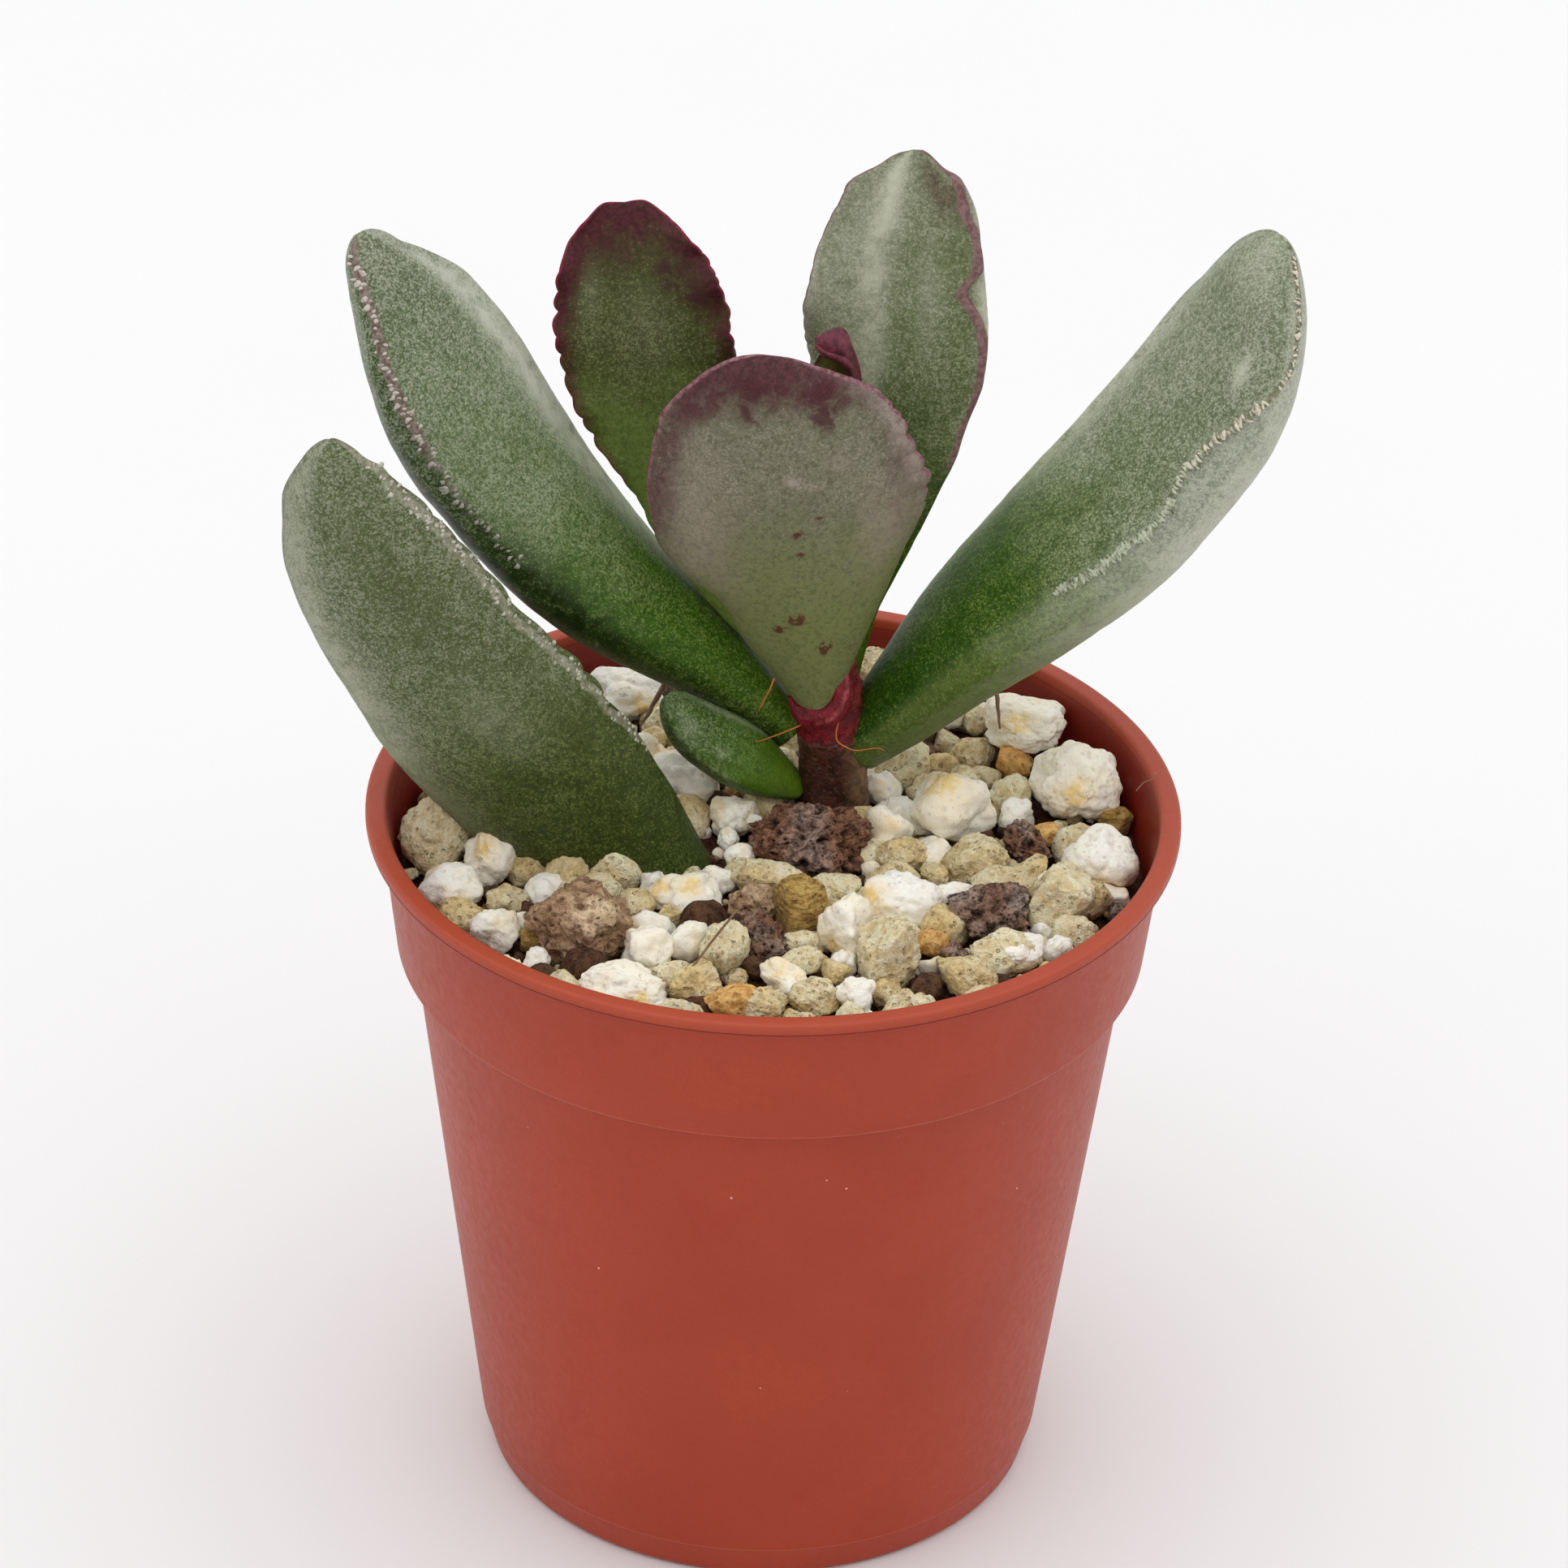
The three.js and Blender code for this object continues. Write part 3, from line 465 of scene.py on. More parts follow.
        "spine": [(3.9, 9.4, 54.6), (4.3, 10.4, 62.2), (5.8, 11.5, 70.1), (7.4, 12.5, 77.7),
                  (7.6, 13.5, 85), (8.1, 14.5, 92.8)],
        "face": [(0.12, -0.99, 0.12), (0.1, -0.99, 0.1)], "half_width": 6.05, "inner": 1.2, "outer": 1.9,
        "shape": (0.75, 0.24, 1.27, 2), "depth": (0.4, 0.6, 1, 2), "ridge": 0.3, "bare_to": 0.35,
        "lift_drop": (0.95, 1), "wave": (0.45, 5), "cup": 1,
        "tip": [(-4.8, 0), (-3.5, -0.5), (-2.3, -0.65), (-1.3, -0.2), (-0.1, 0), (0.7, 0.15), (2.2, -0.5),
                (3.4, 0), (4.4, 0)],
        "margins": (
            {"lift": [(0.35, 11), (0.5, 21), (0.65, 23), (0.7, 34), (0.744, 46), (0.765, 46), (0.79, 31),
                      (0.82, 27), (0.86, 25), (0.895, 40), (0.93, 36), (0.97, 20), (1, 0)],
             "meander": (0.04, 1.6), "rim": (1, 0.42),
             "outline": [(0.15, 0.1), (0.22, 0.3), (0.3, 0.35), (0.36, 0.38), (0.55, 0.46), (0.6, 0.46),
                         (0.65, 0.26), (0.7, 0), (0.78, -0.22), (0.85, -0.2), (0.95, 0.22), (1, -0.3)]},
            {"drift": (0.1, 2.2), "lobes": (0.08, 1.3, 0.9), "rim": (0.8, 0.16),
             "outline": [(0.5, 0.2), (0.55, 0.3), (0.6, 0.05), (0.65, 0.33), (0.73, 0.55), (0.8, 0.11),
                         (0.85, -0.16), (0.91, -0.05), (0.95, 0.55), (1, 0.8)]},
        ),
        "stains": [(1, 0.95, 0.45, 0.06, 0.3, 0.5), (1, 0.93, 0.9, 0.06, 0.3, 0.4)],
        "sheen_blooms": [(1, 0.78, -0.36, 0.3, 0.2, 0.85), (1, 0.95, -0.3, 0.1, 0.3, 0.6),
                   (1, 0.78, -0.8, 0.2, 0.2, 0.35), (1, 0.75, 1, 0.2, 0.12, 0.9),
                   (1, 0.74, 0.3, 0.1, 0.2, 0.3), (-1, 0.75, 1, 0.25, 0.4, 0.8)],
    },
    "mother_leaf": {
        "spine": [(-3.4, 1, 40.8), (-10.2, 0.2, 47.2), (-17, -0.6, 55.4), (-22.4, -1.4, 63),
                  (-27.2, -2.2, 71.4), (-29.4, -3, 79.4)],
        "face": [(-0.06, 1, 0.06), (0.25, 0.96, 0.16)], "half_width": 8.2, "inner": 2.4, "outer": 3.9,
        "shape": (0.46, 0.3, 1.2, 1.6), "depth": (0.4, 0.7, 1, 2), "ridge": 0.35, "bare_to": 0.2,
        "tip": [(-4.5, 0), (-3.7, 0.15), (-2.9, -0.1), (-2.1, -0.6), (-1.25, -0.3), (-0.3, 0.1), (1, 0),
                (4, 0)],
        "margins": (
            {"lift": 10, "drift": (0.12, 4),
             "outline": [(0, 0), (0.25, 0.1), (0.6, 0.18), (0.8, 0.3), (0.85, 0.06), (0.9, 0.2),
                         (0.96, -0.2), (1, -0.3)]},
            {"lift": [(0.25, 0), (0.4, -13), (0.8, -16), (0.92, -19), (1, 0)], "meander": (0.06, 2.8),
             "drift": (0.2, 2.6), "lobes": (0.35, 3.5, 0.93), "rim": (0.75, 0.5),
             "knobs": (0.3, 0.97, 0.2, 0.11, 0.17, 0.45),
             "outline": [(0, -0.5), (0.25, -0.65), (0.5, -0.75), (0.6, -0.85), (0.66, -0.5), (0.72, -0.1),
                         (0.82, 0), (0.87, 0.15), (0.92, -0.3), (1, -0.1)]},
        ),
        "drips": [(-1, 0.72, -0.3, 0.16, 0.3, 0.3), (-1, 0.5, -0.75, 0.2, 0.25, 0.25)],
        "sheen_blooms": [(-1, 0.8, 0.8, 0.35, 0.25, 0.7), (-1, 0.95, -0.2, 0.1, 0.8, 0.05),
                   (-1, 0.5, -0.2, 0.07, 0.25, 0.3), (-1, 0.5, 0.9, 0.25, 0.22, 0.45)],
    },
    "small_leaf": {
        "spine": [(1.6, 7.2, 47.6), (-1.5, 5.9, 50.4), (-5.2, 5.1, 53.2), (-7.5, 4.5, 56.1)],
        "face": [(0.64, -0.39, 0.66), (0.77, -0.47, 0.44)], "half_width": 2.6, "inner": 1.5, "outer": 2.1,
        "shape": (0.48, 0.35, 1, 1.6), "depth": (0.5, 0.5, 1, 2), "ridge": 0.15, "bare_to": 0.3,
        "margins": (
            {"lift": 15},
            {"lift": 15, "rim": (0.7, 0.25)},
        ),
        "sheen_blooms": [(1, 0.8, -0.6, 0.08, 0.3, 0.6), (1, 0.5, 0.75, 0.35, 0.14, 0.9),
                   (1, 0.55, -0.6, 0.04, 0.14, 0.5)],
    },
    "young_leaf": {
        "slot": "leaf_purple",
        "spine": [(4, 8.3, 58), (3.7, 8.3, 65), (3.5, 8, 72), (3.6, 7.8, 78), (3.5, 7.5, 82.4)],
        "face": [(0.1, -0.99, 0.1), (0.35, -0.93, 0.1)], "half_width": 1.9, "inner": 0.4, "outer": 0.5,
        "shape": (0.7, 0.4, 1, 2), "depth": (0.4, 0.7, 1, 2.4), "ridge": 0.1, "bare_to": 0.4,
        "wave": (0.2, 4), "cup": -0.7,
        "margins": (
            {"rim": (0.6, 0.25), "outline": [(0.7, 0), (0.85, -0.3), (0.95, -0.45), (1, -0.2)]},
            {"rim": (0.6, 0.25)},
        ),
        "stains": [(1, 1, 0.6, 0.1, 1, 1), (-1, 0.85, 0, 0.3, 2, 1), (1, 0.92, 0.85, 0.3, 0.4, 1.3)],
    },
}

# Hood at the tip of the young leaf: its outer line, its rolled lip, and how thick each is
HOOD_TOP = [(1.9, 6.3, 83), (3.1, 6.4, 83.6), (3.85, 6.8, 83.35), (3.75, 6.9, 82.3), (4.25, 7.2, 80.8),
            (5.1, 7.4, 79.4)]
HOOD_LIP = [(2, 6, 82.5), (2.65, 5.9, 82), (3.7, 6.1, 81.5), (4.2, 6.4, 80.7), (4.3, 6.9, 79.7),
            (4.5, 7.2, 78.8)]
HOOD_THICKNESS = (0.15, 0.4, 0.5, 0.45, 0.35, 0.2)
LIP_THICKNESS = (0.14, 0.3, 0.33, 0.3, 0.22, 0.12)

# Leaf colours as red, green and blue from 0 to 255. body is the inner face from the base to the tip, and
# back_base and back are the outer face. fleck_cover is the share that the pale flecks cover at the base and
# at the tip. dots says how strongly single pale dots show, and gap and margin are the margin's two colours.
PLAIN_LOOK = {"shine": 0.45, "stain": (90, 60, 60)}
LEAF_LOOKS = {
    "right_leaf": {
        "shine": 0.42, "dots": 0.25, "dot": (214, 214, 192),
        "body": [(36, 72, 0), (50, 82, 10), (104, 116, 80), (117, 125, 99)], "back": (150, 154, 138),
        "back_base": (86, 106, 46), "fleck": (200, 202, 182), "fleck_cover": (0.24, 0.42),
        "sheen_bloom": (206, 206, 192), "gap": (78, 86, 52), "low_knob": (182, 188, 164),
        "knob": (222, 212, 192), "margin": (130, 130, 98), "drip": (70, 78, 44),
    },
    "left_leaf": {
        "shine": 0.38, "dots": 0.3, "dot": (210, 212, 188),
        "body": [(58, 96, 0), (56, 92, 8), (106, 124, 82), (84, 94, 64)], "back": (60, 82, 32),
        "back_base": (42, 66, 12), "fleck": (198, 200, 180), "fleck_cover": (0.32, 0.42),
        "sheen_bloom": (212, 212, 202), "gap": (104, 82, 74), "low_knob": (172, 172, 156),
        "knob": (202, 192, 182), "margin": (146, 130, 122), "drip": (18, 34, 2),
    },
    "front_leaf": {
        "dots": 0.22, "dot": (196, 188, 172),
        "body": [(124, 130, 84), (118, 122, 92), (113, 113, 99), (116, 107, 101)], "back": (115, 114, 94),
        "back_base": (118, 125, 78), "fleck": (172, 164, 146), "fleck_cover": (0.14, 0.34),
        "sheen_bloom": (186, 162, 160), "stain": (90, 39, 50), "gap": (112, 64, 74), "margin": (154, 112, 118),
        "drip": (74, 34, 38),
    },
    "back_left_leaf": {
        "dots": 0.15, "dot": (176, 176, 140),
        "body": [(124, 150, 60), (112, 136, 60), (72, 78, 34), (72, 70, 40)], "back": (90, 66, 56),
        "back_base": (84, 96, 40), "fleck": (152, 160, 112), "fleck_cover": (0.14, 0.3),
        "sheen_bloom": (142, 146, 116), "stain": (84, 26, 40), "gap": (112, 24, 44), "margin": (140, 42, 62),
        "drip": (66, 32, 34),
    },
    "back_right_leaf": {
        "dots": 0.2, "dot": (206, 206, 184),
        "body": [(78, 108, 18), (54, 74, 15), (98, 109, 66), (121, 125, 98)], "back": (146, 146, 128),
        "back_base": (92, 112, 50), "fleck": (190, 192, 168), "fleck_cover": (0.16, 0.34),
        "sheen_bloom": (208, 208, 190), "stain": (92, 60, 54), "gap": (108, 74, 74), "margin": (144, 108, 110),
        "drip": (80, 52, 50),
    },
    "mother_leaf": {
        "dots": 0.4, "dot": (196, 198, 176),
        "body": [(62, 74, 32), (67, 80, 34), (91, 97, 60), (78, 77, 55)], "back": (84, 95, 54),
        "back_base": (54, 68, 22), "fleck": (178, 178, 160), "fleck_cover": (0.27, 0.42),
        "sheen_bloom": (166, 170, 150), "gap": (120, 118, 92), "low_knob": (184, 184, 166),
        "knob": (196, 192, 178), "margin": (158, 158, 138), "drip": (60, 60, 40),
    },
    "small_leaf": {
        "shine": 0.32, "dots": 0.25, "dot": (160, 176, 120),
        "body": [(98, 128, 30), (76, 108, 26), (66, 94, 30), (74, 98, 50)], "back": (52, 80, 16),
        "back_base": (66, 96, 16), "fleck": (176, 190, 150), "fleck_cover": (0.16, 0.34),
        "sheen_bloom": (164, 176, 146), "gap": (60, 84, 30), "margin": (128, 146, 96), "drip": (50, 70, 24),
    },
    "young_leaf": {
        "shine": 0.4, "dots": 0.1, "dot": (190, 150, 150),
        "body": [(100, 112, 40), (104, 112, 44), (104, 108, 44), (100, 100, 44)], "back": (104, 50, 62),
        "back_base": (96, 100, 44), "fleck": (150, 90, 100), "fleck_cover": (0.05, 0.12),
        "sheen_bloom": (160, 120, 124), "stain": (104, 44, 60), "gap": (110, 44, 60), "margin": (132, 60, 78),
        "drip": (80, 36, 44),
    },
}

# Share of red, green and blue that flecks keep at the base of a leaf, and how far stains keep flecks away
LOW_FLECK = (0.78, 0.86, 0.52)
BARE_STAINS = 1.8


# Random numbers and noise: the factors that mix up seeds and cells

RANDOM_START = (7919, 17)
RANDOM_FACTOR = 16807
RANDOM_SIZE = 2147483647
CELL_FACTORS = (73856093, 19349663, 83492791)
SEED_FACTOR = 2654435
MIX_STEPS = ((13, 1274126177), (16, 2246822519))
ALL_BITS = 0xFFFFFFFF
LOW_BITS = 0xFFFF


def random_from(seed):
    """Numbers between 0 and 1, the same ones for the same seed."""
    state = seed * RANDOM_START[0] + RANDOM_START[1]
    while True:
        state = state * RANDOM_FACTOR % RANDOM_SIZE
        yield state / RANDOM_SIZE


def draw(random, low, spread, power=1):
    """The next number, from low to low + spread. A higher power makes low ones more common."""
    return low + spread * next(random) ** power


def random_direction(random):
    z = 2 * next(random) - 1
    turn = 2 * math.pi * next(random)
    flat = math.sqrt(1 - z * z)
    return np.array([flat * math.cos(turn), flat * math.sin(turn), z])


def noise(points, seed=0):
    """Smooth noise from -1 to 1 at points given in widths of its cells."""
    cell = np.floor(points).astype(np.int64)
    part = points - cell
    fade = part**3 * (part * (part * 6 - 15) + 10)
    total = np.zeros(len(points))
    for corner in itertools.product((0, 1), repeat=3):
        key = cell + np.array(corner)
        mixed = np.bitwise_xor.reduce(key * CELL_FACTORS, axis=1) ^ (seed * SEED_FACTOR)
        for shift, factor in MIX_STEPS:
            mixed = ((mixed ^ (mixed >> shift)) * factor) & ALL_BITS
        value = 2 * ((mixed >> 8) & LOW_BITS) / LOW_BITS - 1
        total += np.prod(np.where(corner, fade, 1 - fade), axis=1) * value
    return total


def fractal(points, seed=0, octaves=3):
    """Noise with finer and weaker noise on top."""
    total = np.zeros(len(points))
    for octave in range(octaves):
        total += noise(points * 2**octave + 17.3 * octave, seed + octave) / 2**octave
    return total / 1.5


def line_noise(x, seed):
    """Noise along a line, from -1 to 1."""
    points = np.zeros((len(x), 3))
    points[:, 0] = x
    points[:, 1] = seed * 3.7 + 0.5
    return noise(points, seed)


def jittered(points, size, scale, seed):
    """Points moved a little, each coordinate by its own noise."""
    return points + size * np.stack([noise(points * scale, seed + k) for k in range(3)], axis=-1)


def smoothstep(low, high, x):
    u = np.clip((x - low) / (high - low), 0, 1)
    return u * u * (3 - 2 * u)


# Curves and meshes

def unit(vectors):
    return vectors / np.linalg.norm(vectors, axis=-1, keepdims=True)


def turns(sides):
    return 2 * np.pi * np.arange(sides) / sides


def evenly(values, t):
    """Values that lie evenly along a line, read at t from 0 to 1."""
    return np.interp(t, np.linspace(0, 1, len(values)), values)


def catmull(points, t):
    """Places and directions on the Catmull-Rom curve through points, at t from 0 to 1."""
    points = np.asarray(points, float)
    spans = len(points) - 1
    u = np.clip(t, 0, 1) * spans
    i = np.minimum(u.astype(int), spans - 1)
    w = (u - i)[:, None]
    longer = np.vstack([2 * points[0] - points[1], points, 2 * points[-1] - points[-2]])
    before, low, high, after = longer[i], longer[i + 1], longer[i + 2], longer[i + 3]
    leave = 0.5 * (high - before)
    reach = 0.5 * (after - low)
    square = -3 * low + 3 * high - 2 * leave - reach
    cube = 2 * low - 2 * high + leave + reach
    place = low + leave * w + square * w**2 + cube * w**3
    direction = leave + 2 * square * w + 3 * cube * w**2
    return place, unit(direction)


def make_mesh(name, points, faces):
    """A smooth mesh from points in millimetres and a list of face arrays."""
    mesh = bpy.data.meshes.new(name)
    mesh.vertices.add(len(points))
    mesh.vertices.foreach_set("co", (np.asarray(points, float) * MM).ravel())
    corners = np.concatenate([part.ravel() for part in faces]).astype(np.int32)
    sizes = np.concatenate([np.full(len(part), part.shape[1]) for part in faces])
    mesh.loops.add(len(corners))
    mesh.loops.foreach_set("vertex_index", corners)
    mesh.polygons.add(len(sizes))
    mesh.polygons.foreach_set("loop_start", np.concatenate([[0], np.cumsum(sizes)[:-1]]).astype(np.int32))
    mesh.update(calc_edges=True)
    mesh.validate()
    mesh.shade_smooth()
    return mesh


def add_attributes(mesh, **values):
    """Numbers that the material reads on the mesh: one for each point, or one for all of them."""
    for name, value in values.items():
        attribute = mesh.attributes.new(name, "FLOAT", "POINT")
        spread = np.broadcast_to(value, len(mesh.vertices)).astype(np.float32)
        attribute.data.foreach_set("value", spread)


def add_object(name, data):
    added = bpy.data.objects.new(name, data)
    bpy.context.scene.collection.objects.link(added)
    return added


def add_piece(name, mesh, material, replaced=()):
    """Puts a mesh in the scene as a piece that rides on the part."""
    piece = add_object(name, mesh)
    mesh.materials.append(material)
    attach(piece, "root")
    if replaced:
        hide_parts(*replaced)
    return piece


def loft_faces(rings, sides):
    """Faces over rings of equal length, with a point before the first and one after the last."""
    j = np.arange(sides)
    k = (j + 1) % sides
    low = 1 + np.arange(rings - 1)[:, None] * sides
    quads = np.stack([low + j, low + k, low + sides + k, low + sides + j], axis=-1).reshape(-1, 4)
    start = np.stack([np.zeros(sides, int), 1 + k, 1 + j], axis=-1)
    top = 1 + (rings - 1) * sides
    end = np.stack([top + j, top + k, np.full(sides, top + sides)], axis=-1)
    return [quads, start, end]


def lathe_points(profile, sides):
    """Rings of a turned body whose profile of [radius, height] starts and ends on the axis."""
    turn = turns(sides)
    round_points = np.stack([np.cos(turn), np.sin(turn)], axis=-1)
    middle = np.asarray(profile[1:-1], float)
    rings = np.empty((len(middle), sides, 3))
    rings[..., :2] = middle[:, 0, None, None] * round_points
    rings[..., 2] = middle[:, 1, None]
    start = np.array([[0, 0, profile[0][1]]], float)
    end = np.array([[0, 0, profile[-1][1]]], float)
    return np.vstack([start, rings.reshape(-1, 3), end])


def rounded(corners, steps=5):
    """A profile whose corners, given as (radius, height, rounding), are rounded off."""
    points = []
    for i, (radius, height, rounding) in enumerate(corners):
        here = np.array([radius, height], float)
        if rounding == 0:
            points.append(here)
            continue
        before = np.array(corners[i - 1][:2], float) - here
        after = np.array(corners[i + 1][:2], float) - here
        start = here + before / np.linalg.norm(before) * rounding
        end = here + after / np.linalg.norm(after) * rounding
        for step in np.linspace(0, 1, steps + 1):
            points.append((1 - step) ** 2 * start + 2 * step * (1 - step) * here + step**2 * end)
    return points


def refined(profile, longest):
    """The profile with long stretches split, so that the skin has even faces."""
    points = [profile[0]]
    for low, high in zip(profile, profile[1:]):
        pieces = max(1, math.ceil(np.linalg.norm(np.subtract(high, low)) / longest))
        for step in range(1, pieces + 1):
            points.append(np.asarray(low) + (np.asarray(high) - np.asarray(low)) * step / pieces)
    return points


def tube(points, radii, rings=40, sides=12):
    """A closed tube along a curve, with its radii read evenly along it."""
    t = np.linspace(0, 1, rings)
    place, along = catmull(points, t)
    radius = evenly(radii, t)
    across = unit(np.cross(along, np.array([0.3, -0.2, 0.93])))
    up = np.cross(along, across)
    turn = turns(sides)
    arm = across[:, None] * np.cos(turn)[None, :, None] + up[:, None] * np.sin(turn)[None, :, None]
    skin = place[:, None] + arm * radius[:, None, None]
    start = place[:1] - along[:1] * radius[0] * 0.5
    end = place[-1:] + along[-1:] * radius[-1] * 0.5
    return np.vstack([start, skin.reshape(-1, 3), end]), loft_faces(rings, sides)


_balls = {}


def ball(subdivisions):
    """Directions and faces of a round ball of triangles."""
    if subdivisions not in _balls:
        build = bmesh.new()
        bmesh.ops.create_icosphere(build, subdivisions=subdivisions, radius=1)
        directions = unit(np.array([v.co for v in build.verts], float))
        faces = np.array([[v.index for v in f.verts] for f in build.faces])
        build.free()
        _balls[subdivisions] = (directions, faces)
    return _balls[subdivisions]


# Shaders

def paint(colour):
    """A colour of 0 to 255 as the linear colour that a shader takes."""
    linear = [c / 255 / 12.92 if c <= 10 else ((c / 255 + 0.055) / 1.055) ** 2.4 for c in colour]
    return (*linear, 1)


class Shader:
    """A node material, built by short calls that return sockets."""

    def __init__(self, name):
        self.material = bpy.data.materials.new(name)
        self.material.use_nodes = True
        self.nodes = self.material.node_tree.nodes
        self.links = self.material.node_tree.links
        self.skin = self.nodes["Principled BSDF"]
        self.place = self.vector("MULTIPLY", self.add("TexCoord", "Object", {}), (1 / MM,) * 3)

    def feed(self, socket, value):
        if isinstance(value, bpy.types.NodeSocket):
            self.links.new(value, socket)
        else:
            socket.default_value = value

    def add(self, kind, output, inputs, **settings):
        """An output of a new node, with the node's settings made and its inputs fed."""
        node = self.nodes.new("ShaderNode" + kind)
        for name, value in settings.items():
            setattr(node, name, value)
        for name, value in inputs.items():
            self.feed(node.inputs[name], value)
        return node.outputs[output]

    def vector(self, operation, a, b):
        return self.add("VectorMath", 0, {0: a, 1: b}, operation=operation)

    def math(self, operation, a, b=0.0, clamp=False):
        return self.add("Math", 0, {0: a, 1: b}, operation=operation, use_clamp=clamp)

    def times(self, a, b, clamp=False):
        return self.math("MULTIPLY", a, b, clamp)

    def plus(self, a, b, clamp=False):
        return self.math("ADD", a, b, clamp)

    def minus(self, a, b, clamp=False):
        return self.math("SUBTRACT", a, b, clamp)

    def absolute(self, a):
        return self.math("ABSOLUTE", a)

    def height(self):
        """How high a place is."""
        return self.add("SeparateXYZ", "Z", {0: self.place})

    def from_axis(self):
        """How far a place is from the upright axis."""
        flat = self.vector("MULTIPLY", self.place, (1, 1, 0))
        return self.add("VectorMath", "Value", {0: flat}, operation="LENGTH")

    def attribute(self, name):
        return self.add("Attribute", "Fac", {}, attribute_name=name)

    def noise(self, scale, detail=2.0, roughness=0.5, distortion=0.0, place=None, shift=0.0):
        """Noise from 0 to 1. scale is in cells a millimetre."""
        where = self.place if place is None else place
        if shift:
            where = self.vector("ADD", where, (shift, 1.7 * shift, -shift))
        inputs = {"Vector": where, "Scale": scale, "Detail": detail, "Roughness": roughness}
        return self.add("TexNoise", "Fac", inputs | {"Distortion": distortion})

    def cells(self, scale):
        """How far a place is from the middle of its cell. scale is in cells a millimetre."""
        return self.add("TexVoronoi", "Distance", {"Vector": self.place, "Scale": scale})

    def band(self, value, low, high, to_low=0.0, to_high=1.0):
        """value between low and high, as a smooth step from to_low to to_high."""
        inputs = {"Value": value, "From Min": low, "From Max": high, "To Min": to_low, "To Max": to_high}
        return self.add("MapRange", "Result", inputs, interpolation_type="SMOOTHSTEP")

    def mix(self, factor, a, b, blend="MIX"):
        return self.add("Mix", 2, {0: factor, 6: a, 7: b}, data_type="RGBA", blend_type=blend)

    def between(self, factor, low, high):
        """A colour between two that are given as 0 to 255."""
        return self.mix(factor, paint(low), paint(high))

    def tint(self, colour, factor, over):
        """The colour with a share of another laid over it, which is given as 0 to 255."""
        return self.mix(factor, colour, paint(over))

    def ramp(self, factor, stops):
        """A colour read from even stops, which are given as 0 to 255."""
        node = self.nodes.new("ShaderNodeValToRGB")
        elements = node.color_ramp.elements
        while len(elements) < len(stops):
            elements.new(0.5)
        for i, stop in enumerate(stops):
            elements[i].position = i / (len(stops) - 1)
            elements[i].color = paint(stop)
        self.feed(node.inputs["Fac"], factor)
        return node.outputs["Color"]

    def bump(self, height, depth, normal=None):
        """Relief of that depth in millimetres, on top of another relief."""
        under = {} if normal is None else {"Normal": normal}
        return self.add("Bump", "Normal", {"Height": height, "Distance": depth * MM} | under)

    def finish(self, colour, roughness, normal, **constants):
        inputs = {"Base Color": colour, "Roughness": roughness, "Normal": normal}
        for name, value in (inputs | constants).items():
            self.feed(self.skin.inputs[name.replace("_", " ")], value)
        return self.material


